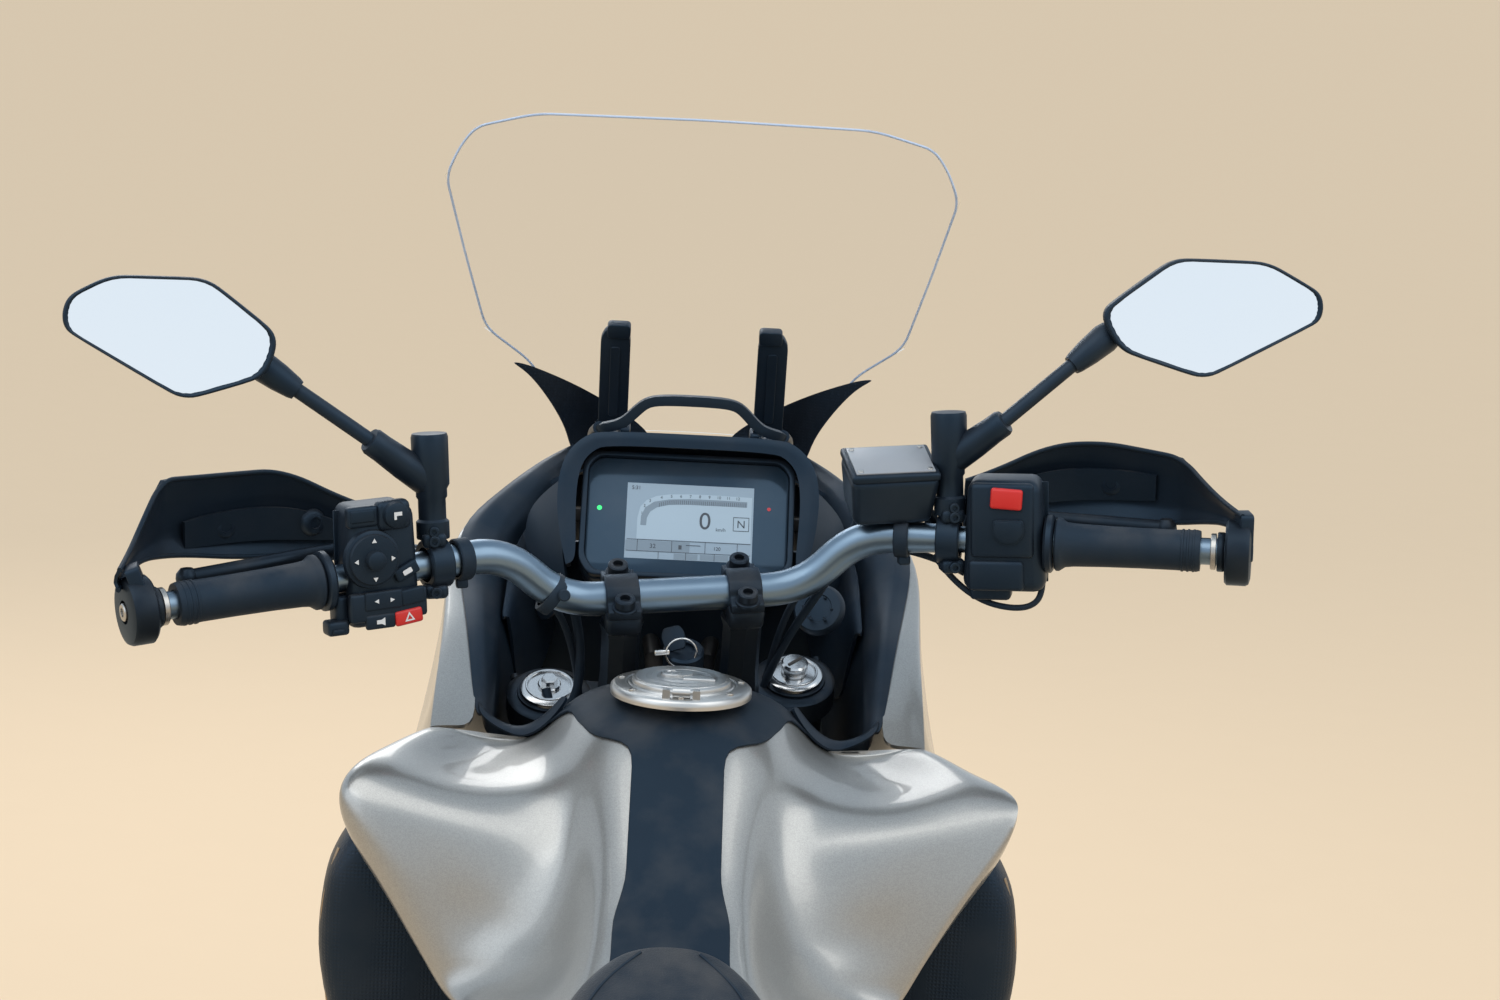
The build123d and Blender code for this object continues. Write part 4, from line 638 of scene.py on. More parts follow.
M = {
    "paint_silver": silver_paint(),
    "plastic_dark": cool("dark satin plastic", (0.0060, 0.0105, 0.0175), (0.0085, 0.0140, 0.0225),
                         (0.36, 0.5), 0.12, 1100.0, 0.06),
    "plastic_grain": cool("grained plastic", (0.0050, 0.0090, 0.0150), (0.0075, 0.0125, 0.0195),
                          (0.5, 0.62), 0.3, 800.0, 0.07),
    "steel_black": plain("black frame coat", (0.012, 0.012, 0.013), (0.02, 0.02, 0.021),
                         (0.28, 0.42), 0.1, 600.0, 0.18),
    "engine_grey": cast_metal("engine casting", (0.09, 0.092, 0.096), (0.38, 0.52)),
    "alloy_black": cast_metal("black alloy", (0.012, 0.016, 0.022), (0.32, 0.46), 0.12),
    "alloy_bar": bar_alloy(),
    "steel_bright": brushed_steel("bright steel", (0.50, 0.49, 0.47), (0.26, 0.4)),
    "steel_satin": brushed_steel("satin steel", (0.62, 0.62, 0.61), (0.30, 0.42)),
    "plate_grey": plain("grey plate", (0.30, 0.32, 0.35), (0.26, 0.28, 0.31), (0.35, 0.5), 0.0, dusty=0.1),
    "exhaust_steel": brushed_steel("heated steel", (0.42, 0.40, 0.37), (0.24, 0.42), (0.30, 0.20, 0.12)),
    "chrome_bright": brushed_steel("polished metal", (0.70, 0.71, 0.72), (0.14, 0.26)),
    "rubber_black": cool("grip rubber", (0.0085, 0.0135, 0.021), (0.012, 0.018, 0.027),
                         (0.55, 0.68), 0.25, 1500.0, 0.12),
    "tyre_black": tyre_rubber(),
    "seat_vinyl": seat_vinyl(),
    "dimpled": dimpled_plastic(),
    "clear_screen": screen_glass(),
    "screen_edge": plain("screen edge", (0.40, 0.52, 0.72), (0.52, 0.62, 0.78), (0.1, 0.2), 0.0, dusty=0.0),
    "lamp_glass": lens("lamp glass", (0.85, 0.88, 0.92), 0.04, 0.85),
    "red_lens": lens("red lens", (0.40, 0.012, 0.012), 0.12, 0.3),
    "amber_lens": lens("amber lens", (0.85, 0.25, 0.02), 0.12, 0.4),
    "display_glass": cool("display glass", (0.020, 0.036, 0.056), (0.024, 0.041, 0.062), (0.1, 0.16), 0.0, 900.0, 0.05),
    "mirror_face": mirror_silver(),
    "red_button": plain("red button", (0.62, 0.018, 0.016), (0.55, 0.015, 0.014), (0.3, 0.42), 0.05, 900.0, 0.05),
    "white_mark": plain("white mark", (0.72, 0.74, 0.76), (0.66, 0.68, 0.7), (0.4, 0.5), 0.0, dusty=0.1),
    "lit_panel": glow("lit display", (0.22, 0.30, 0.38), 0.2),
    "lit_white": glow("lit field", (0.28, 0.37, 0.45), 0.28),
    "lit_dark": plain("display ink", (0.03, 0.045, 0.065), (0.03, 0.045, 0.065), (0.2, 0.3), 0.0, dusty=0.02),
    "lit_grey": glow("display shade", (0.16, 0.22, 0.28), 0.14),
    "green_light": glow("green tell-tale", (0.03, 0.75, 0.18), 0.9),
    "red_light": glow("red tell-tale", (0.42, 0.02, 0.03), 0.25),
    "reflector": brushed_steel("lamp reflector", (0.8, 0.8, 0.8), (0.05, 0.12)),
    # Painted highlight: a bright bronze metal line that stands in for the light caught along the shrouds' outer lip.
    "lip_highlight": brushed_steel("painted lip highlight", (0.40, 0.31, 0.22), (0.25, 0.4)),
}

# Every CAD piece gets its finish first. Those that a new piece replaces are hidden further down.
FINISH_OF = {row["node"]: row["material_slot"] for row in frame["record"]["subparts"]}
FINISH_OF.update(exhaust="exhaust_steel", filler_cap="steel_satin", filler_ring="steel_satin")
for name, obj in node.items():
    obj.data.materials.clear()
    obj.data.materials.append(M[FINISH_OF[name]])


def dress(pieces, name, finish, body="chassis", replaces=(), angle=38):
    """Makes one named piece of what is given, with its material, and hangs it on its body."""
    obj = merge(pieces)
    obj.name = obj.data.name = name
    obj.data.materials.clear()
    obj.data.materials.append(M[finish])
    if angle:
        only(obj)
        bpy.ops.object.shade_smooth_by_angle(angle=math.radians(angle))
    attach(obj, body)
    if replaces:
        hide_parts(*replaces)
    return obj


def steered(pieces, name, finish, replaces=(), angle=38):
    """A piece drawn with the steering straight, turned to the rest angle and hung on the steering."""
    return dress(carried(merge(pieces), TURN), name, finish, "steering", replaces, angle)


# Tank, its black cover, seat and tail

# Rings from the front of the tank to the seat. Their middle follows the spine back, their wings run over the tray and
# down the rear face, so that the face keeps an even net.
TANK = [
    (364, [(0, 1055), (48, 1053), (84, 1038), (108, 1012), (130, 998), (165, 1000), (202, 1012), (214, 1002),
           (204, 972), (184, 950), (120, 930), (0, 924)]),
    (350, [(0, 1059), (52, 1057), (90, 1042), (111, 1010), (134, 995), (170, 996), (206, 1014), (222, 1004),
           (212, 972, 2), (186, 946, 4), (120, 928, 2), (0, 922)]),
    (311, [(0, 1058), (50, 1055), (84, 1037), (105, 1006), (134, 991), (182, 992), (226, 1012), (242, 1002),
           (236, 966, 4), (202, 934, 8), (120, 912, 3), (0, 902)]),
    (277, [(0, 1053), (47, 1051), (77, 1033, 1), (98, 1003, 2), (128, 989, 3), (182, 990, 2), (234, 1009), (262, 1004),
           (254, 958, 7), (206, 918, 15), (116, 888, 9), (0, 876)]),
    (254, [(0, 1044), (44, 1042), (72, 1024, 1), (92, 1000, 3), (121, 987, 4), (176, 987, 3), (232, 1001, 2),
           (272, 1000, 3), (262, 952, 12), (207, 906, 23), (112, 872, 17), (0, 864)]),
    (238, [(0, 1033), (43, 1031), (68, 1014, 1), (88, 991, 3), (117, 979, 3), (170, 981, 2), (226, 988, 5),
           (273, 994, 6), (264, 948, 19), (206, 898, 32), (110, 866, 24), (0, 860)]),
    (222, [(0, 1020), (42, 1018), (65, 1001), (84, 968, 1), (111, 966, 3), (164, 970, 5), (221, 976, 11),
           (267, 977, 14), (258, 938, 29), (204, 890, 42), (108, 863, 28), (0, 857)]),
    (205, [(0, 1006), (42, 1004), (63.5, 985), (82, 950), (105, 948, 9), (156, 952, 14), (208, 955, 21),
           (254, 958, 23), (245, 921, 40), (198, 880, 53), (106, 860, 35), (0, 853)]),
    (184, [(0, 988), (42, 986), (62, 966), (80, 929, 1), (99, 924, 18), (145, 925, 28), (193, 927, 34), (234, 930, 36),
           (225, 896, 53), (184, 866, 66), (104, 855, 44), (0, 848)]),
    (155, [(0, 964), (42, 962), (61, 944), (79, 908, 3), (95, 897, 27), (129, 890, 49), (168, 886, 55), (206, 884, 56),
           (199, 857, 72), (160, 846, 83), (102, 847, 57), (0, 842)]),
    (135, [(0, 950), (42, 948), (61, 933), (80, 898, 4), (94, 885, 25), (120, 876, 49), (157, 866, 68), (193, 858, 72),
           (184, 842, 87), (152, 836, 96), (100, 842, 63), (0, 839)]),
    (112, [(0, 934), (43, 932), (61, 921), (80, 888, 4), (94, 874, 24), (112, 858, 44), (142, 844, 78), (176, 826, 90),
           (166, 820, 102), (138, 820, 106), (98, 834, 66), (0, 835)]),
    (72, [(0, 914.5), (44, 913), (61, 905), (82, 884, 4), (97, 869, 12), (110, 861, 18), (120, 854, 24),
           (124, 846, 26), (116, 837, 28), (102, 833, 28), (94, 829, 18), (0, 823)]),
    (30, [(0, 893), (40, 892), (58, 886), (80, 873), (100, 861), (114, 855), (125, 849), (130, 841), (124, 828),
           (114, 820), (104, 812), (0, 806)]),
]
TANK_CREASES = [(6, 0.15), (7, 0.55), ("r0", 0.9), ("r13", 0.9), (2, 0.2)]
tank = hull(slices(*TANK), 3, TANK_CREASES)
tank = dress(tank, "tank_skin", "paint_silver", replaces=["fuel_tank"], angle=60)


# The cover lies on the tank as a strip: (y, half width) from the seat to the front, pressed down from above.
WIDTHS = [
    (42, 46), (50, 45.5), (60, 45), (80, 44), (100, 44), (112, 43.5), (120, 42), (128, 40), (136, 38), (144, 36.5),
    (152, 36), (165, 36), (180, 36), (195, 36), (205, 36), (215, 36), (225, 36), (234, 37), (241, 40), (247, 46),
    (253, 54), (260, 62), (268, 68), (278, 73), (290, 77), (302, 81), (314, 84), (326, 87), (336, 91), (344, 97),
    (351, 104), (357, 107), (361, 105), (363.6, 98),
]
STRIPS, STRIP_TOP = 26, 1300
bpy.ops.mesh.primitive_grid_add(x_subdivisions=STRIPS, y_subdivisions=len(WIDTHS) - 1, size=1)
cover = bpy.context.object
for k, corner in enumerate(cover.data.vertices):
    y, half = WIDTHS[k // (STRIPS + 1)]
    corner.co = Vector((-half + 2 * half * (k % (STRIPS + 1)) / STRIPS, y, STRIP_TOP)) * MM
modify(cover, "SHRINKWRAP", target=tank, wrap_method="PROJECT", use_project_z=True, use_negative_direction=True,
       use_positive_direction=True, use_project_x=False, use_project_y=False, offset=0.9 * MM)
soften(wall(cover, 2.2, 1.0), 0.8, 2, 50)
dress(cover, "tank_centre_cover", "plastic_grain", replaces=["tank_cover"], angle=50)

# The dark lip along the tank's front edge, from the centre cover out to the silver side panel
LIP = [
    [(90, 346, 1044), (96, 354, 1041), (99, 364, 1036), (99, 368, 1018)],
    [(104, 350, 1022), (110, 360, 1022), (113, 370, 1018), (113, 374, 1002)],
    [(124, 358, 1003), (128, 368, 1008), (131, 377, 1006), (131, 379, 992)],
    [(142, 366, 1005), (146, 376, 1011), (150, 384, 1008), (150, 386, 992)],
    [(156, 372, 1011), (160, 382, 1017), (162, 390, 1015), (160, 392, 998)],
    [(166, 380, 1017), (168, 390, 1025), (166, 398, 1022), (163, 402, 1006)],
]
lips = [wall(panel(sided(s, LIP)), 2.4, 0.0) for s in SIDES]
dress(lips, "tank_front_lip", "plastic_dark", angle=50)

FLANGE = [(34, -8), (34, 4.4), (35, 5.2), (38, 5.6), (42, 5.2), (43, 4.2), (44.5, 4.2), (45.5, 5.0), (53, 4.2),
          (55.5, 3.2), (57, 1.6), (57.3, -1.5), (34, -8)]
dress(place(turned(FLANGE, 72), (0, 311, 1063.4)), "filler_flange", "steel_satin")
around = [2 * math.pi * (k + 0.5) / 7 for k in range(7)]
screws = [place(bolt(3.0, 1.6), (49.5 * math.sin(a), 311 + 49.5 * math.cos(a), 1067.6)) for a in around]
dress(screws, "filler_screws", "steel_bright")
FLAP = [(0, 6.0), (20, 6.0), (21, 5.4), (24, 5.4), (25, 6.2), (37.6, 5.6), (39.6, 4.4), (40, 3.2), (40, 1), (0, 1)]
flap = [
    place(turned(FLAP, 72), (0, 311, 1067.3)),
    place(turned([(0, 2.0), (5, 2.0), (5.4, 2.6), (8, 2.6), (9, 1.8), (9, 0), (0, 0)]), (-8, 316, 1073.0)),
    place(block((2, 8, 0.8), 0.3), (-8, 316, 1075.2)),
    place(block((26, 12, 2.4), 1.0), (14, 306, 1073.6)),
]
dress(flap, "filler_flap", "steel_satin", "filler_cap")

SEAT = [
    (80, [(0, 927), (14, 926.5), (26, 924), (34, 919), (33, 915), (0, 915)]),
    (66, [(0, 922), (28, 921), (46, 916), (54, 908), (50, 904), (0, 907)]),
    (46, [(0, 914), (40, 912), (64, 905), (72, 895), (66, 890), (0, 899)]),
    (14, [(0, 894), (52, 893), (84, 882), (94, 862), (84, 838), (0, 832)]),
    (-40, [(0, 870), (62, 869), (104, 860), (122, 838), (112, 818), (0, 812)]),
    (-110, [(0, 846), (74, 846), (126, 842), (148, 822), (138, 802), (0, 798)]),
    (-200, [(0, 833), (80, 834), (138, 834), (158, 815), (148, 797), (0, 792)]),
    (-290, [(0, 836), (84, 838), (140, 838), (158, 820), (148, 802), (0, 798)]),
    (-326, [(0, 850), (80, 852), (128, 848), (148, 826), (142, 806), (0, 802)]),
]
PASSENGER = [
    (-334, [(0, 856), (70, 858), (118, 852), (140, 834), (136, 816), (0, 812)]),
    (-348, [(0, 876), (78, 877), (128, 868), (145, 848), (138, 822), (0, 816)]),
    (-420, [(0, 892), (88, 893), (136, 882), (148, 862), (138, 838), (0, 832)]),
    (-500, [(0, 899), (88, 900), (134, 890), (146, 870), (136, 850), (0, 844)]),
    (-590, [(0, 901), (84, 902), (118, 894), (132, 878), (124, 862), (0, 858)]),
    (-632, [(0, 896), (74, 896), (100, 890), (118, 878), (112, 868), (0, 866)]),
    (-640, [(0, 888), (66, 888), (92, 884), (104, 876), (98, 870), (0, 870)]),
]


def cushion(rows):
    obj = hull(slices(*rows), 3, [(3, 0.35), (4, 0.7)])
    return modify(obj, "SMOOTH", iterations=2, factor=0.4)


def seam(target, line, radius):
    """A seam or piping laid on a cushion, straight below points (x, y)."""
    points = []
    for x, y in line:
        hit, spot, *_ = target.ray_cast(Vector((x * MM, y * MM, 1.2)), Vector((0, 0, -1)))
        if hit:
            points.append((x, y, spot.z / MM + 0.4))
    return tube(points, radius, 3, 10, 3)


RIDER_LINE = [(22, 70), (44, 50), (60, 26), (76, -6), (92, -50), (106, -100), (116, -160), (120, -220), (121, -270),
              (116, -308)]
PASSENGER_LINE = [(104, -352), (114, -400), (116, -460), (114, -520), (106, -580), (92, -618)]
front_seat, back_seat = cushion(SEAT), cushion(PASSENGER)
seams = []
for target, line in ((front_seat, RIDER_LINE), (back_seat, PASSENGER_LINE)):
    seams += [seam(target, [(s * x, y) for x, y in line], 1.4) for s in SIDES]
for target, y, half in ((front_seat, -120, 104), (back_seat, -470, 110), (back_seat, -560, 104)):
    seams.append(seam(target, [(x, y - 0.0012 * x * x) for x in range(-half, half + 1, half // 5)], 1.1))
rider = dress(front_seat, "rider_seat", "seat_vinyl", replaces=["seat"], angle=70)
passenger = dress(back_seat, "passenger_seat", "seat_vinyl", angle=70)
dress(seams, "seat_seams", "rubber_black")

TAIL = [
    [(167, -120, 806), (180, -122, 776), (174, -126, 728)],
    [(168, -200, 802), (182, -202, 776), (172, -206, 726)],
    [(167, -330, 808), (178, -332, 780), (156, -336, 742)],
    [(155, -470, 834), (166, -472, 806), (142, -478, 764)],
    [(140, -600, 860), (151, -603, 832), (129, -610, 790)],
    [(122, -710, 874), (133, -714, 848), (110, -722, 808)],
    [(104, -800, 884), (114, -804, 864), (92, -812, 828)],
    [(70, -882, 889), (77, -884, 873), (65, -886, 851)],
]
tail = wall(panel(TAIL, 2, [(1, 0.8)]), 4)
cowl = hull(slices(
    (-874, [(0, 890), (40, 890), (69, 889), (75, 872), (62, 851), (0, 849)]),
    (-880, [(0, 889), (40, 889), (69, 888), (74, 872), (61, 852), (0, 850)]),
    (-884, [(0, 887), (38, 887), (66, 886), (72, 872), (60, 853), (0, 851)]),
), 2, [("r0", 0.8), ("r2", 0.8), (3, 0.6)])
dress([tail, mirrored(tail), cowl], "tail_panels", "paint_silver", replaces=["tail_fairing"], angle=50)
stays = [tube([(s * 144, -620, 833), (s * 108.4, -620, 833)], 7, 2) for s in SIDES]
stays += [tube([(s * 174, -250, 764), (s * 150.2, -250, 764)], 6, 2) for s in SIDES]
dress(stays, "tail_panel_lugs", "plastic_dark")

# Side panels, shrouds, nose and inner cockpit panels

SIDE = [
    [(166, 367, 1009), (187, 366, 1010), (205, 366, 1008), (213, 369, 982), (237, 374, 930), (257, 378, 878),
     (250, 382, 802)],
    [(174, 420, 1043), (191, 419, 1045), (205, 418, 1041), (211, 421, 1004), (236, 424, 935), (257, 428, 870),
     (251, 432, 792)],
    [(182, 475, 1073), (193, 475, 1075), (204, 475, 1071), (211, 477, 1000), (236, 480, 935), (256, 484, 868),
     (250, 490, 790)],
    [(193, 552, 1093), (202, 552, 1095), (210, 552, 1091), (214, 555, 1034), (233, 560, 945), (249, 566, 872),
     (243, 572, 802)],
    [(203, 606, 1127), (206, 606, 1128), (208, 606, 1125), (213, 610, 1062), (228, 620, 970), (241, 628, 880),
     (235, 634, 822)],
    [(168, 660, 1149), (173, 660, 1150), (177, 660, 1146), (209, 668, 1064), (222, 680, 975), (229, 690, 896),
     (220, 696, 842)],
    [(141, 730, 1163), (148, 730, 1164), (154, 730, 1160), (206, 742, 1064), (207, 756, 980), (206, 766, 925),
     (198, 772, 868)],
    [(112, 806, 1166), (119, 806, 1165), (126, 806, 1159), (178, 814, 1066), (182, 826, 1005), (176, 834, 950),
     (158, 838, 892)],
    [(80, 876, 1150), (90, 877, 1148), (98, 878, 1142), (131, 880, 1070), (135, 884, 1010), (133, 886, 970),
     (115, 888, 930)],
]
side = wall(panel(SIDE, 2, [(2, 0.55), (5, 0.3)]), 4)
dress([side, mirrored(side)], "side_panels", "paint_silver", replaces=["side_fairings"], angle=50)

SHROUD = [
    [(120, 262, 850), (120, 262, 840), (120, 262, 825), (120, 262, 800), (124, 262, 765), (130, 262, 728)],
    [(168, 260, 880), (168, 260, 868), (168, 260, 848), (168, 260, 812), (172, 260, 765), (176, 260, 722)],
    [(216, 256, 912), (218, 255, 898), (220, 254, 876), (218, 254, 832), (214, 255, 770), (206, 258, 712)],
    [(250, 258, 940), (257, 254, 928), (263, 252, 906), (266, 252, 850), (254, 254, 780), (228, 258, 700)],
    [(260, 268, 942), (268, 264, 932), (277, 260, 910), (286, 260, 866), (283, 264, 806), (240, 270, 700)],
    [(262, 310, 946), (270, 308, 934), (279, 306, 912), (284, 308, 862), (276, 314, 796), (234, 320, 690)],
    [(254, 366, 930), (266, 364, 922), (277, 362, 904), (276, 366, 848), (264, 372, 774), (228, 378, 660)],
    [(242, 424, 850), (254, 424, 842), (262, 426, 826), (262, 428, 780), (254, 432, 722), (220, 436, 636)],
    [(236, 470, 770), (247, 472, 766), (256, 474, 758), (256, 476, 740), (250, 478, 706), (216, 480, 622)],
]
shroud = wall(panel(SHROUD, 2, [(2, 0.3), ("r3", 0.25)]), 4)
dress([shroud, mirrored(shroud)], "lower_shrouds", "dimpled", replaces=["shrouds"], angle=50)


def eased(rows, r, k):
    """Where the smoothed sheet lies at one of its corners."""
    share = {-1: 1 / 6, 0: 4 / 6, 1: 1 / 6}
    spots = [share[i] * share[j] * Vector(rows[r + i][k + j]) for i in share for j in share]
    return sum(spots, Vector((0, 0, 0)))


# A thin bright bronze tube along each shroud's outer lip, on its smoothed fourth row: a painted highlight of the lip's
# edge.
edge = tube([eased(SHROUD, 4, k) for k in (1, 2, 3, 4)], 1.7, 3, 10, 3)
dress([edge, mirrored(edge)], "shroud_lip_highlights", "lip_highlight")
lugs = [tube([(s * x, y, z), (s * 190, y, z)], 7, 2) for s in SIDES for x, y, z in ((250, 262, 890), (275, 330, 900))]
dress(lugs, "shroud_lugs", "plastic_dark")

# Black inner panels of the cockpit: an upper edge band and a bowl that runs down inside to the frame.
INNER = [
    [(169, 380, 1012), (163, 384, 1015), (157, 390, 1007), (158, 398, 975), (161, 406, 935), (163, 412, 895)],
    [(176, 420, 1042), (168, 423, 1045), (159, 429, 1035), (158, 436, 1000), (160, 441, 950), (162, 446, 900)],
    [(184, 475, 1073), (174, 477, 1077), (160, 484, 1067), (156, 490, 1025), (157, 494, 975), (158, 500, 915)],
    [(196, 552, 1093), (184, 552, 1098), (166, 556, 1090), (142, 562, 1050), (132, 566, 1000), (136, 570, 940)],
    [(205, 606, 1127), (194, 606, 1133), (172, 608, 1126), (146, 612, 1088), (132, 618, 1040), (136, 624, 960)],
    [(171, 660, 1150), (160, 660, 1158), (144, 662, 1152), (128, 666, 1120), (122, 672, 1075), (126, 678, 1000)],
    [(146, 728, 1163), (137, 728, 1170), (124, 728, 1166), (112, 730, 1144), (106, 732, 1112), (108, 734, 1060)],
    [(118, 790, 1168), (110, 790, 1176), (100, 790, 1172), (94, 790, 1156), (92, 790, 1130), (94, 790, 1090)],
]
INNER_STEP = [
    [(158, 500, 1068), (153, 508, 1070), (148, 520, 1040), (146, 528, 1000)],
    [(156, 540, 1086), (149, 548, 1088), (134, 560, 1050), (126, 568, 1004)],
    [(156, 592, 1114), (148, 600, 1114), (130, 608, 1078), (120, 614, 1030)],
    [(134, 646, 1142), (128, 652, 1140), (116, 658, 1106), (110, 662, 1060)],
]
BACKING = [
    [(-140, 606, 1122), (-70, 598, 1126), (0, 596, 1126), (70, 598, 1126), (140, 606, 1122)],
    [(-140, 622, 1050), (-70, 616, 1050), (0, 614, 1050), (70, 616, 1050), (140, 622, 1050)],
    [(-140, 656, 970), (-70, 650, 965), (0, 648, 965), (70, 650, 965), (140, 656, 970)],
    [(-140, 694, 880), (-70, 690, 870), (0, 688, 870), (70, 690, 870), (140, 694, 880)],
]
inner = wall(panel(INNER, 2, [(1, 0.35), (2, 0.5)]), 3)
step = wall(panel(INNER_STEP, 2, [(1, 0.6)]), 3)
backing = wall(panel(BACKING, 1), 3)
dress([inner, step, mirrored(inner), mirrored(step), backing], "cockpit_panels", "plastic_dark", angle=50)

NOSE = [
    (702, [(0, 1178), (60, 1179), (104, 1174), (148, 1146), (170, 1100), (176, 1060), (172, 990), (168, 930),
           (144, 884), (110, 862), (0, 858)]),
    (760, [(0, 1180), (56, 1180), (88, 1172), (124, 1144), (156, 1100), (166, 1060), (164, 990), (158, 930),
           (134, 884), (104, 864), (0, 860)]),
    (820, [(0, 1175), (50, 1173), (76, 1160), (106, 1134), (136, 1094), (152, 1054), (148, 990), (140, 932),
           (118, 886), (92, 868), (0, 862)]),
    (880, [(0, 1147), (44, 1143), (68, 1132), (92, 1108), (112, 1074), (122, 1044), (118, 990), (110, 938),
           (90, 896), (70, 878), (0, 870)]),
    (925, [(0, 1106), (38, 1102), (56, 1094), (76, 1074), (86, 1050), (90, 1026), (86, 990), (78, 944), (64, 908),
           (50, 892), (0, 886)]),
    (956, [(0, 1046), (24, 1044), (34, 1040), (50, 1030), (58, 1020), (60, 1010), (60, 990), (55, 950), (44, 922),
           (32, 908), (0, 902)]),
]


def in_lamp_opening(face):
    centre = face.calc_center_median()
    return centre.y > 0.868 and 0.956 < centre.z < 1.014


def on_front_rim(line):
    return line.is_boundary and min(corner.co.y for corner in line.verts) > 0.95


nose = hull(slices(*NOSE), 2, [("r5", 0.5), (3, 0.3)], caps=False)
edit(nose, "FACE")
pick(nose, in_lamp_opening)
bpy.ops.mesh.delete(type="FACE")
done()
edit(nose, "EDGE")
pick(nose, on_front_rim, "EDGE")
bpy.ops.mesh.fill_holes(sides=0)
done()
wall(nose, 4)
beak = hull(slices(
    (872, [(0, 892), (40, 890), (58, 884), (60, 874), (0, 866)]),
    (940, [(0, 872), (34, 871), (48, 864), (49, 856), (0, 848)]),
    (1010, [(0, 847), (24, 846), (34, 841), (35, 835), (0, 831)]),
    (1058, [(0, 825), (8, 824.5), (12, 822), (12, 819), (0, 818)]),
), 2, [(2, 0.6)])
dress([nose, beak], "nose_cowl", "plastic_dark", replaces=["nose_fairing"], angle=50)
ties = [place(block((296, 8, 14)), (0, 712, 1126)), place(block((400, 8, 14)), (0, 720, 1060))]
dress(ties, "nose_ties", "steel_black")

# Steering: yokes, clamps, bar, grips, controls, guards, mirrors. All drawn with the steering straight.

YOKE = [
    (-142, 26), (-142, 60), (-118, 78), (-86, 60), (-40, 50), (40, 50), (86, 60), (118, 78), (142, 60), (142, 26),
    (112, 8), (46, -28), (-46, -28), (-112, 8),
]
CLAMP = [(-29, -2), (-29, 7), (-18, 8), (-15.5, 13), (-9, 17.5), (0, 19), (9, 17.5), (15.5, 13), (18, 8), (29, 7),
         (29, -2), (16.4, -2), (14.4, 4), (9, 11.2), (0, 14.4), (-9, 11.2), (-14.4, 4), (-16.4, -2)]
metal = []
for drop in (-20, -225):
    metal.append(on_yoke(flat(rounded(YOKE, 16), 20, 2.0, 3), 0, 0, drop))
    for s in SIDES:
        collar = turned([(27.4, 0), (27.4, 24), (33, 24), (36, 22), (36, 2), (34, 0), (27.4, 0)], 48)
        metal.append(on_yoke(collar, s * FORK_X, FORK_AHEAD, drop - 2))
        metal += [place(bolt(4, 6), on_head(s * 132, 68, drop + up - 1), ACROSS, AHEAD) for up in (6, 15)]
STEM_NUT = [(0, 6), (8, 6), (8, 11), (17, 11), (19, 9), (19, 0), (24, -1), (24, -2), (0, -2)]
for profile, sides in ((STEM_NUT, 6), ([(0, -230), (15, -230), (15, 2), (0, 2)], 32)):
    metal.append(on_yoke(turned(profile, sides), 0, 0, 0))
for s in SIDES:
    foot, top = on_head(s * RISER_X, 10, -2), on_bar(s * RISER_X, 0, -20)
    tall = (top - foot).length
    riser = [(0, 0), (22, 0), (23, 3), (19, 12), (16.5, tall * 0.5), (16.5, tall - 10), (19, tall), (0, tall)]
    metal.append(place(turned(riser, 8), foot, ACROSS, top - foot))
    metal.append(place(block((30, 54, 20), 5), on_bar(s * RISER_X, 0, 0) - UP * 12, ACROSS, UP))
steered(metal, "yokes_and_risers", "alloy_black", ["yokes"], angle=35)


def clamp(side):
    """The clamp's upper half: an arched strap over the bar between two flat ears, each with its bolt."""
    strap = place(raised(flat(CLAMP, 28, 1.6, 3), -14), (0, 0, 0), (0, 1, 0), ACROSS)
    pieces = [strap]
    for y in (-23.5, 23.5):
        pieces += [place(disc_of(10.5, 3, 0.8, 28), (0, y, 6.5)), place(bolt(8.4, 8.5, 28), (0, y, 9))]
    lean = Matrix.Rotation(RAKE, 4, "X")
    return carried(merge(pieces), Matrix.Translation(on_bar(side * RISER_X, 0, 0) * MM) @ lean)


steered([clamp(s) for s in SIDES], "bar_clamps", "alloy_black", angle=40)

caps = []
for s, knob, sides in ((-1, [(0, 15), (6, 15), (7, 14), (7, 8), (0, 8)], 6),
                       (1, [(0, 17), (10, 17), (11.5, 15.5), (11.5, 8), (0, 8)], 36)):
    cap = turned([(0, 9), (9, 9), (10, 8), (10, 6), (21, 6), (24.6, 4), (25.4, 2), (25.4, 0), (0, 0)], 48)
    rim = turned([(18.5, 0), (18.5, 7.1), (18.8, 7.4), (20.2, 7.4), (20.5, 7.1), (20.5, 0), (18.5, 0)], 48)
    caps += [on_yoke(piece, s * FORK_X, FORK_AHEAD, 4) for piece in (cap, rim, turned(knob, sides))]
steered(caps, "fork_caps", "chrome_bright")
adjuster = place(block((15, 2.4, 1.2), 0.3), on_head(FORK_X, FORK_AHEAD, 21.4), (0.8, 0.6, 0), UP)
steered(adjuster, "adjuster_slot", "steel_black")

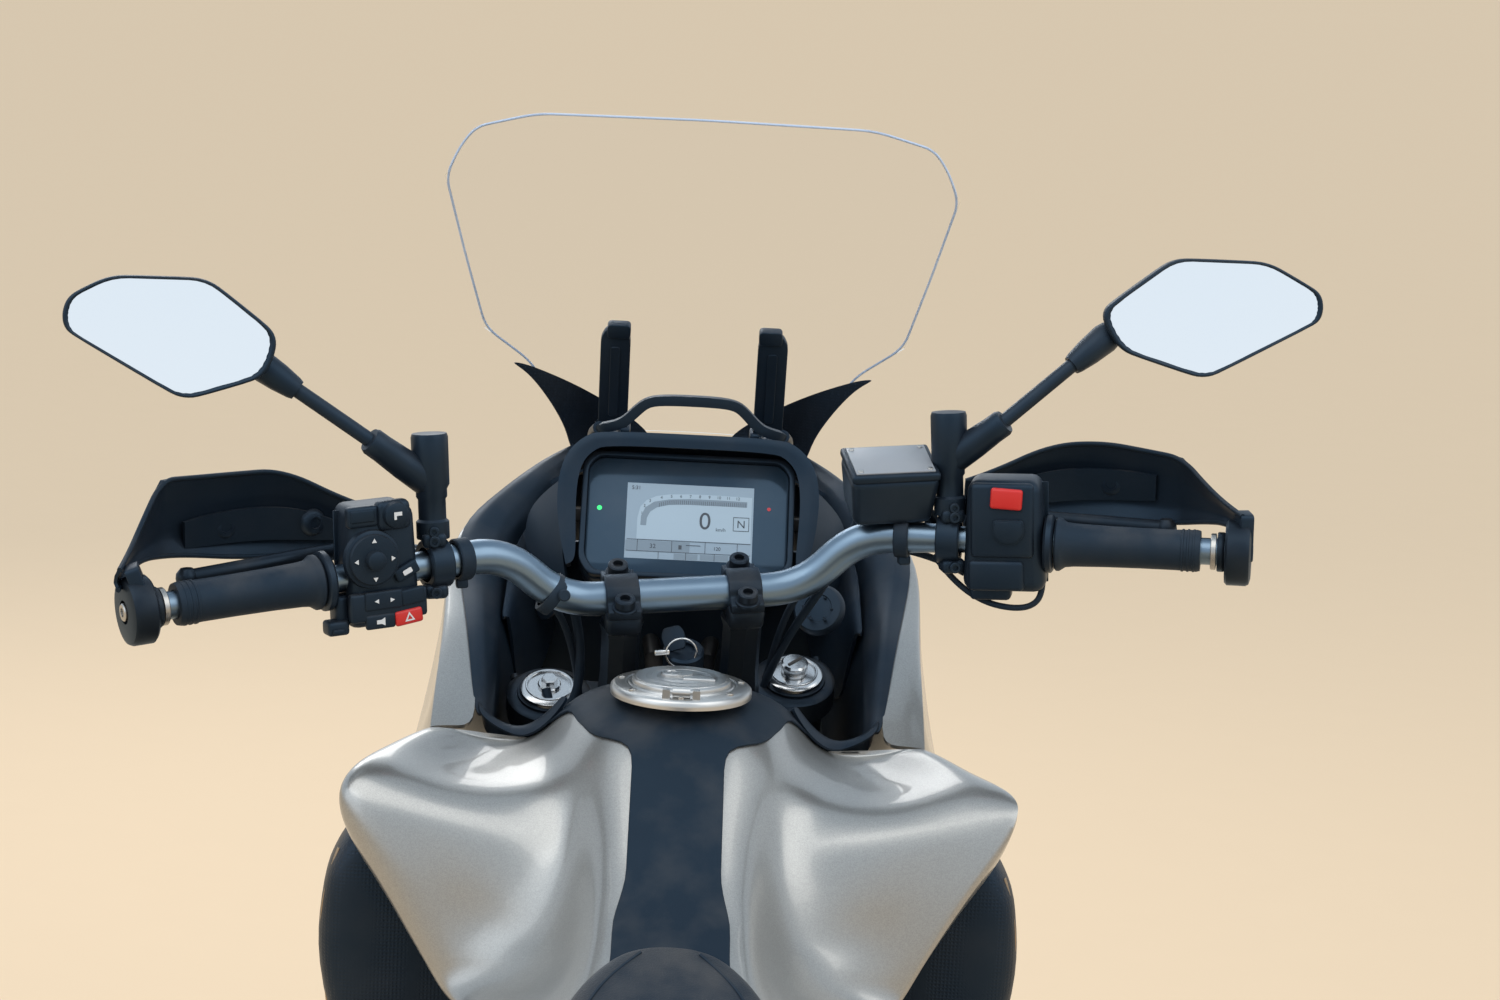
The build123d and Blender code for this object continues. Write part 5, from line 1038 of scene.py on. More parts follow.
GRIP = [(11.6, 0), (20.5, 0), (22, 1.5), (22, 4), (20.6, 6), (18.6, 9), (17.8, 16), (17.0, 40), (16.6, 70), (16.6, 98),
        (17.0, 112), (17.2, 115), (16.4, 118), (11.6, 118)]
WEIGHT = [(11.2, 0), (24.6, 0), (26.8, 2), (26.8, 17), (25.4, 19.6), (21, 20.8), (9.4, 20.8), (9.4, 17), (0, 17)]
GRIP_RIB = [(16.6, 0), (17.5, 0.6), (17.5, 2.0), (16.6, 2.6)]
WEIGHT_COLLAR = [(11.2, 0), (15.6, 0), (16.2, 0.8), (16.2, 5), (15.6, 5.8), (11.2, 5.8)]
BRIGHT_RING = [(11.2, 0), (14.4, 0), (14.9, 0.6), (14.9, 4.2), (11.2, 4.6)]
grips, weights, ends = [], [], []
for s in SIDES:
    grips.append(along(300.2, s, turned(GRIP, 64)))
    grips += [along(396 + 4.2 * k, s, turned(GRIP_RIB, 48)) for k in range(3)]
    weights += [along(423.4, s, turned(WEIGHT_COLLAR, 48)), along(429.4, s, turned(WEIGHT, 56))]
    ends.append(along(418.4, s, turned(BRIGHT_RING, 48)))
    ends.append(along(446.6, s, bolt(7.0, 4.0, 28)))
steered(grips, "rubber_grips", "rubber_black", ["grips"])
steered(weights, "bar_end_weights", "alloy_black")
steered(ends, "bar_end_bolts", "steel_bright")

POD = {-1: grip_point(254, -1, 4, 8), 1: grip_point(263, 1, 4, 7)}
POD_SIZE = {-1: (62, 46, 98), 1: (68, 46, 94)}


def pod_place(side):
    return Matrix.Translation(POD[side] * MM) @ Matrix.Rotation(math.radians(-side * 20), 4, "Z")


def tapered(obj, x_share, y_share, half_height):
    """Widens or narrows a block with its height, in its own frame."""
    for v in obj.data.vertices:
        v.co.x *= 1 + x_share(v.co.z / half_height)
        v.co.y *= 1 + y_share(v.co.z / half_height)
    return obj


def on_pod(side, piece, at, spin=0.0):
    """Carries a piece drawn facing +Z to a place on the pod's face: at = (outward, out of the face, up)."""
    face = Matrix.Rotation(math.radians(90), 4, "X")
    move = Matrix.Translation(Vector((side * at[0], -at[1], at[2])) * MM)
    return carried(piece, pod_place(side) @ move @ face @ Matrix.Rotation(math.radians(spin), 4, "Z"))


def pod_blocks(side, *rows):
    """Blocks on a pod from rows of size, place, bevel and spin."""
    return [on_pod(side, block((x, z, y), bevel), at, *spin) for (x, y, z), at, bevel, *spin in rows]


shells, buttons = [], []
for s in SIDES:
    width, depth, high = POD_SIZE[s]
    shell = block((width, depth, high), 10, 4)
    tapered(shell, lambda up: -0.14 * max(0, up), lambda up: -0.12 * max(0, -up), high * MM / 2)
    split = carried(block((width + 0.6, 1.2, high - 10), 0.4, 1), Matrix.Translation((0, 7 * MM, 0)))
    shells.append(carried(shell, pod_place(s)))
    buttons.append(carried(split, pod_place(s)))
    shells.append(along(292, s, turned([(12, 0), (22, 0), (24, 2), (24, 6), (22, 7.6), (12, 7.6)], 48)))

# Left pod: four-way pad, round button, rocker, horn and hazard buttons, flasher trigger
shells.append(on_pod(-1, turned([(0, 5), (20, 5), (23, 3.5), (24, 0), (0, 0)], 48), (12, 22, 8)))
shells += pod_blocks(
    -1, ((66, 8, 24), (-1, 21, -31), 3), ((28, 14, 24), (-8, 20, 41), 5), ((26, 10, 17), (18, 20, 42), 3),
    ((18, 16, 12), (40, 12, -46), 3), ((12, 18, 26), (34, 6, -34), 4),
)
for profile, sides, at in (([(0, 3.4), (14, 3.0), (19.6, 2.2), (20.6, 1), (20.6, 0), (0, 0)], 48, (12, 27, 8)),
                           ([(0, 8), (6, 7.6), (7.6, 6.2), (8.2, 0), (0, 0)], 36, (12, 29.5, 8)),
                           ([(0, 6.4), (8.2, 6), (10, 4.6), (10.8, 0), (0, 0)], 36, (-8, 26.5, 42))):
    buttons.append(on_pod(-1, turned(profile, sides), at))
buttons += pod_blocks(
    -1, ((20, 3, 10), (19, 25, 43), 1.4), ((21, 4.6, 11), (-17, 23.6, -5), 2.0, 24),
    ((32, 4.6, 15), (4, 24.6, -26), 1.8), ((20, 4.6, 13), (-21, 24.6, -25.6), 1.8, 6),
    ((25, 4.6, 12), (7, 24.0, -43), 2.0), ((10, 3, 4), (41, 20.6, -48), 1.2),
)
reds = pod_blocks(-1, ((24, 4.8, 12.5), (-17, 24.2, -42), 2.4, 6))
BIG_ARROW, SMALL_ARROW = [(-2, 0), (2, 0), (0, 3.4)], [(-1.7, 0), (1.7, 0), (0, 3.6)]
HORN = [(-4, -1.6), (0, -1.6), (3, -3.2), (3, 3.2), (0, 1.6), (-4, 1.6)]
HAZARD = [(-4.2, -3), (4.2, -3), (0, 4.2), (0, 2.2), (2.4, -1.9), (-2.4, -1.9), (0, 2.2), (0, 4.2)]
FLAG = [(-3.4, -3), (-1.4, -3), (-1.4, 0), (3.2, 0), (3.2, 3), (-3.4, 3)]
MARKS = [
    (BIG_ARROW, 0.5, (12, 30.2, 22), 0), (BIG_ARROW, 0.5, (12, 30.2, -6), 180), (BIG_ARROW, 0.5, (26, 30.2, 8), 90),
    (BIG_ARROW, 0.5, (-2, 30.2, 8), -90), (SMALL_ARROW, 0.5, (9, 27.1, -26), 90),
    (SMALL_ARROW, 0.5, (-1, 27.1, -26), -90), (HORN, 0.5, (7, 26.4, -43), 0), (HAZARD, 0.5, (-17, 26.7, -42), 6),
    (FLAG, 0.4, (-8, 32.9, 42), 0), (rounded([(-4, -2), (4, -2), (4, 2), (-4, 2)], 1), 0.4, (-17, 26.1, -5), 24),
]
marks = [on_pod(-1, flat(outline, depth, 0), at, spin) for outline, depth, at, spin in MARKS]

# Right pod: stop switch, outlined button, ribbed lower case
shells += pod_blocks(
    1, ((52, 10, 62), (-1, 20, 14), 4), ((46, 10, 26), (-6, 19, -32), 4), ((34, 20, 14), (-12, 4, -48), 4),
)
reds += pod_blocks(1, ((26, 7, 17), (3, 26, 33), 2.2, -4))
buttons += pod_blocks(1, ((29, 4, 20), (3, 23.6, 32.6), 2.4, -4))
outline = rounded([(-13, 9.6), (12, 9.6), (12.6, -3), (6, -10.4), (-7, -10.4), (-13.6, -3)], 3)
buttons.append(on_pod(1, flat(outline, 3.6, 1.2), (5, 24.2, 6)))
buttons.append(on_pod(1, flat([(0.9 * x, 0.88 * y) for x, y in outline], 3.4, 0.9), (5, 25.4, 6)))
steered(shells, "control_pods", "plastic_dark", ["switchgear"], angle=40)
steered(buttons, "control_buttons", "plastic_grain", angle=40)
steered(marks, "button_marks", "white_mark", angle=0)
steered(reds, "stop_and_hazard_buttons", "red_button", angle=40)

PERCH = {-1: 206.0, 1: 219.0}
LEVER = [(256, 68, 8), (290, 60, 10), (330, 55, 10), (370, 57, 8), (398, 63, 6)]
perches, levers = [], []
for s in SIDES:
    x = PERCH[s]
    perches.append(along(x - 10, s, turned([(14.2, 0), (19, 0), (20, 1), (20, 18), (19, 19), (14.2, 19)], 48)))
    for up in (-21, 21):
        perches.append(place(block((20, 20, 12), 4), grip_point(x, s, -4, up)))
        perches.append(place(bolt(4.6, 5, 24), grip_point(x, s, -13, up), ACROSS, (0, -1, 0)))
    perches.append(tube([grip_point(x, s, 12), grip_point(x + 2, s, 32, -1), grip_point(x + 4, s, 50, -2)], 10))
    perches.append(place(disc_of(12, 14, 2, 32), grip_point(x + 6, s, 46, -9)))
    line = [(x + 4, 44, -2), (x + 20, 62, 2)] + LEVER
    levers.append(tube([grip_point(a, s, b, c) for a, b, c in line], 7.0, 4, 8, 5))
    knob = turned([(0, -9), (5, -8), (8.4, -4), (9, 0), (8.4, 4), (5, 8), (0, 9)], 32)
    levers.append(place(knob, grip_point(402, s, 63, 6)))

# The fluid pot leans back on the right of the bar.
POT_PLACE = Matrix.Translation(on_bar(171, -24, 84.6) * MM) @ Matrix.Rotation(math.radians(17), 4, "X")
pot = tapered(block((70, 52, 44), 7, 4), lambda up: 0.07 * up, lambda up: 0.10 * up, 22 * MM)
arm = tube([on_bar(176, -20, 78), on_bar(188, -26, 66), grip_point(206, 1, 26, 22), grip_point(214, 1, 32, 2)], 6)
perches += [carried(pot, POT_PLACE), arm]
steered(perches, "lever_perches", "plastic_dark", ["levers"], 40)
steered(carried(raised(block((74, 56, 7), 2.4), 23.4), POT_PLACE), "fluid_pot_cap", "plastic_dark")
plate = carried(raised(block((66, 48, 1.6), 0.6, 2), 27.4), POT_PLACE)
steered(plate, "fluid_pot_plate", "plate_grey")
spots = [(sx * 29, sy * 20, 27.8) for sx in SIDES for sy in SIDES]
screws = [carried(place(disc_of(2.4, 1.2, 0.4, 20), spot), POT_PLACE) for spot in spots]
steered(screws, "fluid_pot_screws", "steel_bright")
steered(levers, "hand_levers", "alloy_black")

GUARD = [
    [(250, 36, 44), (250, 39, 54), (250, 38, 68), (250, 34, 78)],
    [(272, 36, 43), (272, 40, 56), (272, 38, 80), (272, 33, 97)],
    [(322, 32, 44), (322, 38, 58), (322, 36, 92), (322, 28, 119)],
    [(362, 15, 47), (362, 23, 62), (362, 19, 98), (362, 9, 124)],
    [(398, -6, 50), (398, 2, 66), (398, -3, 102), (398, -12, 129)],
    [(418, -28, 54), (420, -22, 70), (420, -28, 106), (418, -38, 134)],
    [(436, -62, 60), (438, -56, 74), (438, -62, 98), (434, -72, 118)],
    [(446, -100, 62), (448, -96, 72), (448, -100, 86), (444, -106, 98)],
    [(452, -132, 56), (454, -130, 64), (453, -132, 72), (450, -134, 80)],
]
# How far each guard's upper and lower line lie below that drawing, by rows.
LOWERED = {-1: [(0, 0), (11, 0), (4, 0), (7, 0), (10, -5), (11, -6), (23, -5), (20, 0), (8, 0)],
           1: [(0, 0), (13, 0), (13, 0), (14, 2), (25, 7), (32, 9), (34, 8), (24, 4), (10, 0)]}
BRACE = [[(276, 39, 54), (276, 37, 68)], [(310, 38, 56), (310, 35, 84)], [(350, 29, 60), (350, 25, 88)],
         [(388, 10, 60), (388, 5, 86)], [(404, -4, 62), (403, -9, 84)]]
GUARD_TIP = {-1: -450, 1: 441}
PIN = [(0, 3.2), (4.2, 3.2), (4.8, 5.4), (8.2, 5.0), (10.2, 3.2), (11.4, 0), (0, 0)]


def beside_bar(s, points, back=0):
    return [on_bar(s * x, y - back, z) for x, y, z in points]


guards, ribs, pins, holders = [], [], [], []
for s in SIDES:
    lines = []
    for (high, low), row in zip(LOWERED[s], GUARD):
        foot, top = row[0][2], row[3][2]
        stretch = (top - high - foot + low) / (top - foot)
        shift = 0.36 * max(0, row[0][0] - 420) if s > 0 else 0
        lines.append([(x - shift, y, foot - low + (z - foot) * stretch) for x, y, z in row])
    creases = [(1, 0.5), (2, 0.6), ("r5", 0.7), ("r1", 0.5)]
    guards.append(wall(panel([beside_bar(s, line) for line in lines], 2, creases, 0.75), 2.6, 0.0))
    ribs.append(tube(beside_bar(s, [row[3] for row in lines], 1), 2.1, 3, 8, 3))
    ribs.append(tube(beside_bar(s, [row[0] for row in lines], 1), 2.0, 3, 8, 3))
    ribs.append(wall(panel([beside_bar(s, pair, 7) for pair in BRACE], 2, (), 0.8), 3.0, 0.0))
    for x, y, z in ((300, 30, 70), (372, 12, 74)):
        pins.append(place(turned(PIN, 32), on_bar(s * x, y, z), (0, 0, 1), (-s * 0.5, -1, 0)))
    tip = grip_point(440, s)
    up = on_bar(GUARD_TIP[s], -128, 68) - tip
    tall = up.length
    half = [(15, -4), (11, tall * 0.6), (9, tall + 4)]
    strap = flat(rounded([(-15, -4)] + half + [(-x, y) for x, y in half[:0:-1]], 4), 11, 2.4, 3)
    outwards = Vector((0, 1, 0)).cross(up.normalized())
    holders.append(place(strap, tip - Vector((s * 4, 0, 0)), -outwards.cross(up).normalized(), outwards))
steered(guards, "hand_guard_shells", "plastic_dark", ["hand_guards"], angle=45)
steered(ribs, "hand_guard_ribs", "plastic_grain", angle=45)
steered(pins, "hand_guard_screws", "plastic_dark")
steered(holders, "hand_guard_mounts", "plastic_dark", angle=45)

# Each mirror's outline (x, z), the stem's lower end and its upper end
MIRRORS = {
    -1: ([(-484, 1395), (-449, 1411), (-374, 1406), (-320, 1359), (-332, 1327), (-397, 1311), (-488, 1371)],
         (-249, 350, 1268), (-334, 360, 1332)),
    1: ([(341, 1352), (407, 1394), (488, 1388), (534, 1360), (533, 1338), (430, 1293), (357, 1320)],
        (256, 340, 1262), (347, 356, 1326)),
}
MIRROR_LEAN = 0.13
MIRROR_RINGS = [(0.945, 344), (0.955, 341.2), (0.972, 340.6), (1.0, 341.8), (1.0, 346), (0.97, 356), (0.88, 366),
                (0.70, 373), (0.4, 376.5)]
POST = [(0, 0), (13, 0), (13.4, 1), (13.4, 14), (11.2, 16), (11.2, 32), (12.6, 34), (12.6, 40), (14.8, 44), (15, 82),
        (14, 85), (0, 85.6)]
heads, stems, glasses = [], [], []
for s, (outline, link, stem_end) in MIRRORS.items():
    shape = rounded(outline, 14, 4)
    cx, cz = sum(x for x, z in outline) / len(outline), sum(z for x, z in outline) / len(outline)
    rings = [
        [(cx + (x - cx) * share, y + MIRROR_LEAN * (z - cz), cz + (z - cz) * share) for x, z in shape]
        for share, y in MIRROR_RINGS
    ]
    heads.append(hull(rings, 1))
    lean = Matrix.Rotation(math.radians(90) - math.atan(MIRROR_LEAN), 4, "X")
    plate = flat([((x - cx) * 0.953, (z - cz) * 0.953) for x, z in shape], 1.6, 0.5, 1)
    glasses.append(carried(plate, Matrix.Translation(Vector((cx, 343.6, cz)) * MM) @ lean))
    foot, link, stem_end = grip_point(PERCH[s], s, 0, 20.7), Vector(link), Vector(stem_end)
    elbow, run = foot + Vector((0, 3, 44)), stem_end - link
    reach, length = (link - elbow).length, run.length
    arm = [(0, -6), (9, -6), (13, 0), (12.6, reach * 0.5)]
    arm += [(11.4, reach - 6), (11.4, reach + 4), (10, reach + 7), (0, reach + 7)]
    cup = [(0, -32), (8.2, -32), (9.4, -28), (11.4, -14), (12.6, 4), (11.4, 11), (0, 13)]
    stems += [
        place(turned(POST), foot, ACROSS, (0, 4, 74)),
        place(turned(arm, 32), elbow, (0, 1, 0), link - elbow),
        place(turned([(0, 0), (6, 0), (6, length), (0, length)], 32), link, (0, 1, 0), run),
        place(turned(cup, 32), stem_end, (0, 1, 0), run),
        place(bolt(4.2, 4), foot + Vector((0, -13, 8)), ACROSS, (0, -1, 0)),
    ]
steered(heads, "mirror_heads", "plastic_dark", ["mirrors"], angle=45)
steered(stems, "mirror_stems", "plastic_dark", angle=40)
steered(glasses, "mirror_plates", "mirror_face", ["mirror_glass"], angle=30)

# Cockpit: display, its case and hood, the bar above it, the screen's posts and dark corners

TILT = math.radians(32)
DASH_OUT = Vector((0, -math.cos(TILT), math.sin(TILT)))
DASH_RISE = Vector((0, math.sin(TILT), math.cos(TILT)))
DASH = Vector((0, 571, 1154))
LIT_X, LIT_UP = 2, -4


def on_dash(piece, x=0.0, up=0.0, out=0.0):
    return place(piece, DASH + DASH_RISE * up + DASH_OUT * out + Vector((x, 0, 0)), ACROSS, DASH_OUT)


def frame_of(outer, inner, depth, bevel):
    """A frame between two outlines of equal corner counts."""
    section = ((inner, 0), (inner, depth), (outer, depth), (outer, 0), (inner, 0))
    obj = panel([[(x, y, z) for x, y in line + line[:1]] for line, z in section], 0)
    edit(obj, "EDGE")
    weld()
    done()
    return soften(obj, bevel, 2)


GLASS = [(-80, -54), (80, -54), (89, -40), (89, 44), (80, 54), (-80, 54), (-89, 44), (-89, -40)]
HOOD = [
    [(-100, -50, -14), (-103, -50, 4), (-96, -47, 4)],
    [(-109, -20, -18), (-112, -20, 9), (-98, -18, 8)],
    [(-112, 22, -22), (-116, 24, 16), (-100, 20, 13)],
    [(-104, 50, -26), (-107, 54, 20), (-95, 46, 17)],
    [(-86, 62, -28), (-87, 67, 22), (-80, 56, 19)],
    [(-60, 64, -30), (-60, 69, 23), (-58, 58, 20)],
    [(0, 64, -30), (0, 69, 23), (0, 58, 20)],
]
WING = [
    [(106, 590, 1186), (110, 572, 1156), (108, 556, 1116), (100, 552, 1086)],
    [(124, 604, 1168), (128, 588, 1140), (124, 572, 1100), (112, 560, 1064)],
    [(142, 620, 1146), (144, 604, 1122), (140, 588, 1088), (126, 576, 1048)],
]
glass_line = rounded(GLASS, 5, 2)
case_line = [(x * 1.055 + (0.6 if x > 0 else -0.6), y * 1.09) for x, y in glass_line]
case = [
    on_dash(raised(frame_of(case_line, [(x * 1.003, y * 1.004) for x, y in glass_line], 8, 1.2), -3)),
    on_dash(raised(flat(case_line, 26, 3), -31)),
    on_dash(wall(panel(HOOD + sided(-1, HOOD[-2::-1]), 2, [(1, 0.6), ("r4", 0.4), ("r8", 0.4)]), 3.2, 0.0)),
    place(block((130, 96, 14), 4), (0, 632, 1150)),
]
case += [wall(panel(sided(s, WING)), 3.0, 0.0) for s in SIDES]
dress(case, "display_case", "plastic_dark", replaces=["dash_housing"], angle=45)
pane = on_dash(raised(flat(glass_line, 3.2, 0.8), -3.6))
dress(pane, "display_pane", "display_glass", replaces=["dash_screen"])


def on_field(piece, x=0.0, up=0.0, out=0.0):
    return on_dash(piece, LIT_X + x, LIT_UP + up, out)


def shown(name, pieces, finish):
    """The lit field's pieces, a little larger than drawn, as one."""
    turn = Matrix((Vector(ACROSS), DASH_RISE, DASH_OUT)).transposed().to_4x4()
    grow = Matrix.Translation(DASH * MM) @ turn @ Matrix.Diagonal((1.05, 1.08, 1.0, 1.0))
    obj = carried(merge(pieces), grow @ turn.inverted() @ Matrix.Translation(-DASH * MM))
    dress(obj, name, finish, angle=0)


def tile(x, y, w, h, out=0.02):
    left, right, low, high = x - w / 2, x + w / 2, y - h / 2, y + h / 2
    return on_field(flat([(left, low), (right, low), (right, high), (left, high)], 0.12, 0), out=out)


FIELD = [(-44, -16), (-44, 2), (-42, 12), (-37, 18), (-29, 22), (-18, 24), (0, 25), (25, 25), (52, 24.4), (52, -16)]
ARC = [(-41.2, -4), (-41, 4), (-37.6, 11.8), (-30.4, 17), (-18, 19.6), (0, 20.8), (25, 20.8), (48, 20.4), (48, 15.6),
       (25, 15.8), (0, 15.8), (-18, 14.8), (-28, 12.2), (-33.6, 8), (-36, 2.6), (-36.4, -4)]
shown("display_field", [tile(0, 0, 107, 66, -0.35)], "lit_panel")
shown("speed_field", [on_field(flat(FIELD, 0.12, 0), out=-0.24)], "lit_white")
shades = [tile(x, y, w, h, -0.24) for x, y, w, h in ((-26, -22, 54, 9.4), (22, -30, 24, 5), (-2, -30, 20, 5))]
shown("display_bands", [on_field(flat(ARC, 0.12, 0), out=-0.12)] + shades, "lit_grey")

TICKS = [(-38, 2), (-36, 8.4), (-31.6, 13), (-24.4, 16.2), (-16, 17.6), (-8, 18), (0, 18.2), (8, 18.4), (16, 18.4),
         (24, 18.4), (32, 18.3), (40, 18.2)]
ink = []
for number, (x, y) in enumerate(TICKS, 1):
    ink.append(on_field(lettering(str(number), 3.6, 0.06), x - (2.4 if number <= 3 else 0), y + 4.6, 0.05))
for k in range(46):
    x = -26 + k * 1.62
    ink.append(tile(x, 17.4 - (0.012 * (x + 10) ** 2 if x < -10 else 0), 0.34, 3.6))
for text, size, x, up in (("0", 21, 13, 1.2), ("km/h", 4.2, 26.5, -5.2), ("N", 9.5, 43.5, 0.2), ("32", 5.4, -30, -22),
                          ("5:31", 4.6, -46, 28.6), ("120", 4.2, 24, -22)):
    ink.append(on_field(lettering(text, size, 0.06), x, up, 0.02))
for x, y, w, h in ((43.5, 6.4, 13, 0.5), (43.5, -5.4, 13, 0.5), (37, 0.5, 0.5, 12), (50, 0.5, 0.5, 12),
                   (0, -16.6, 104, 0.4), (0, -26.6, 104, 0.4), (-43, -21.6, 0.4, 10), (-14, -21.6, 0.4, 10),
                   (14, -21.6, 0.4, 10), (41, -21.6, 0.4, 10), (-25, -29.8, 0.4, 6), (-2, -29.8, 0.4, 6),
                   (22, -29.8, 0.4, 6), (4, -20, 12, 0.5), (-7, -22, 2.6, 3.6)):
    ink.append(tile(x, y, w, h))
shown("display_figures", ink, "lit_dark")
dress(on_dash(disc_of(2.2, 0.14, 0.02, 24), -78, 6, -0.3), "neutral_light", "green_light")
dress(on_dash(disc_of(1.7, 0.14, 0.02, 24), 72, 12, -0.3), "alarm_light", "red_light")

LOOP = both_sides([(86, 612, 1222), (80, 606, 1226), (64, 603, 1229), (54, 602, 1238), (44, 601, 1249),
                   (34, 600, 1254), (0, 600, 1254.5)])[::-1]
loop_rings = []
for k, point in enumerate(LOOP):
    run = (Vector(LOOP[min(len(LOOP) - 1, k + 1)]) - Vector(LOOP[max(0, k - 1)])).normalized()
    out = Vector((-run.z, 0, run.x))
    around = ((4.5, -5), (4.8, 5), (-4.5, 6), (-4.8, -5))
    loop_rings.append([tuple(Vector(point) + out * u + Vector((0, v, 0))) for u, v in around])
bridge, clips = [hull(loop_rings, 2, [(k, 0.6) for k in range(5)])], []
for s in SIDES:
    low, high = Vector((s * 74, 806, 1186)), Vector((s * 71, 769, 1297))
    axis, reach = (high - low).normalized(), (high - low).length
    out, bolt_axis = Vector((0, -axis.z, axis.y)), (s * 0.1, 0.95, 0.27)
    post = rounded([(-14, -2), (-14, reach - 10), (-9, reach), (9, reach), (14, reach - 10), (14, -2)], 4)
    groove = rounded([(-4.6, 26), (-4.6, reach - 18), (4.6, reach - 18), (4.6, 26)], 3)
    top = rounded([(-11, 0), (-11, 14), (11, 14), (11, 0)], 4)
    bridge += [
        tube([(s * 82, 608, 1225), (s * 88, 650, 1214), (s * 88, 700, 1200), (s * 86, 720, 1196)], 6),
        place(flat(post, 9, 1.6, 3), low, ACROSS, out),
        place(flat(groove, 1.2, 0.4, 1), low + out * 9, ACROSS, out),
        place(flat(top, 12, 2.4, 3), high - axis * 9 - out, ACROSS, out),
        place(block((34, 20, 20), 4), low + axis * 4 + Vector((0, -3, 0)), ACROSS, axis),
        place(disc_of(8, 14, 1, 24), low + axis * (reach * 0.45), ACROSS, bolt_axis),
        place(disc_of(8, 14, 1, 24), low + axis * (reach * 0.9), ACROSS, bolt_axis),
        tube([(s * 74, 716, 1196), (s * 74, 760, 1196), (s * 74, 800, 1196)], 6, 2),
    ]
    bridge += [place(disc_of(8, 15, 1, 24), (s * 74, y, 1180.4)) for y in (724, 786)]
    for size, bevel, dx in (((3.4, 7, 3), 0.8, -7), ((3.4, 7, 3), 0.8, 7), ((16, 3, 1.8), 0.6, 0)):
        clips.append(place(block(size, bevel), low + axis * 13 + out * 10 + Vector((dx, 0, 0)), ACROSS, out))
bridge.append(tube([(-88, 716, 1196), (88, 716, 1196)], 6, 2))
dress(bridge, "screen_posts", "plastic_dark", replaces=["screen_carrier"], angle=40)
dress(clips, "post_clips", "steel_bright")

CORNER = [
    [(112, 812, 1160), (70, 826, 1158), (30, 834, 1158)],
    [(116, 812, 1184), (76, 830, 1184), (36, 840, 1184)],
    [(128, 802, 1208), (96, 818, 1206), (62, 830, 1204)],
    [(144, 790, 1232), (120, 803, 1229), (94, 816, 1224)],
    [(158, 781, 1248), (142, 790, 1246), (124, 800, 1240)],
    [(172, 772, 1257), (164, 777, 1256), (154, 783, 1253)],
]
corners = [wall(panel(sided(s, CORNER)), 1.6, 0.0) for s in SIDES]
dress(corners, "screen_corner_panels", "dimpled", angle=50)

# The screen's edge from its foot to its top: (x, y, z), drawn for the right.
EDGE = [(112, 824, 1187), (154, 792, 1256), (196, 762, 1290), (214, 717, 1362), (231, 672, 1437), (219, 666, 1464),
        (205, 660, 1483), (152, 680, 1496)]
TOP_EDGE = [(-76, 694, 1496), (0, 708, 1496), (76, 694, 1496)]
soft_rim = bent([(x, y - 2, z) for x, y, z in sided(-1, [EDGE])[0] + TOP_EDGE + EDGE[::-1]], 16, 5)
dress(tube(soft_rim, 1.1, 2, 2, 5), "screen_rim", "screen_edge")

# Key, its ring, hoses and wires behind the bar
lock = place(turned([(0, 0), (17, 0), (17, 26), (15, 28), (9, 28), (9, 26), (0, 26)]), (0, 404, 1052), ACROSS, UP)
steered(lock, "ignition_lock", "plastic_dark")
key = flat(rounded([(-8, 0), (-10, 13), (-7, 20), (7, 20), (10, 13), (8, 0)], 3), 6, 1.4)
steered(place(key, (-6, 392, 1076), (0.9, 0.3, 0), (-0.25, -0.9, 0.35)), "ignition_key", "rubber_black")
around = [k * math.pi / 8 for k in range(17)]
key_ring = tube([(-4 + 13 * math.cos(a), 380 - 3 * math.sin(a), 1077 + 13 * math.sin(a)) for a in around], 0.9, 3, 8, 3)
fob = place(block((13, 3, 5), 1.2), (-20, 380, 1078), (0.9, 0.1, 0.2))
steered([key_ring, fob], "key_ring", "chrome_bright")

HOSES = [
    ([on_bar(-100, 6, 4), (-96, 424, 1140), (-84, 436, 1104), (-80, 444, 1062), (-84, 446, 1030), (-96, 448, 1012),
      (-108, 450, 1018), (-110, 456, 1034)], 4.0),
    ([grip_point(222, -1, 12, -12), grip_point(200, -1, 18, -12), on_bar(-152, 8, 38), on_bar(-122, 22, 6),
      (-98, 424, 1112), (-84, 446, 1060), (-78, 480, 1005)], 3.0),
    ([grip_point(232, 1, 10, -30), grip_point(206, 1, 18, -16), on_bar(152, 8, 38), on_bar(122, 22, 6),
      (98, 424, 1112), (84, 446, 1060), (78, 480, 1005)], 3.0),
    ([on_bar(150, -4, 60), (138, 412, 1140), (112, 430, 1098), (88, 446, 1056), (74, 470, 1010), (66, 500, 960)], 3.6),
]
steered([tube(points, r, 4, 10) for points, r in HOSES], "control_hoses", "rubber_black")
WIRE = [(290, 0, -18), (291, -2, -40), (284, -4, -54), (262, -2, -56), (238, 0, -50), (220, 6, -34), (208, 10, -16)]
steered(tube([grip_point(x, 1, y, z) for x, y, z in WIRE], 2.6, 4, 10), "heated_grip_wire", "rubber_black")
BAND = [(14.2, 0), (16.6, 0), (17.4, 1), (17.4, 11), (16.6, 12), (14.2, 12)]
BEND_BAND = [(14.4, 0), (17.5, 0), (18, 1), (18, 9), (17.5, 10), (14.4, 10)]
bands = []
for s, x in ((-1, 178), (1, 176)):
    bands += [along(x, s, turned(BAND)), place(block((10, 10, 8)), grip_point(x + 6, s, -2, -19))]
bands.append(place(turned(BEND_BAND), on_bar(-104, -1, 3), (0, 1, 0), (-0.8, 0, 0.6)))
bands.append(place(disc_of(5, 5, 1, 20), on_bar(-100, -17, 8), ACROSS, (0, -1, 0.2)))
steered(bands, "bar_bands", "rubber_black")
SOCKET, SOCKET_OUT = Vector((118, 500, 1092)), Vector((-0.3, -0.85, 0.45))
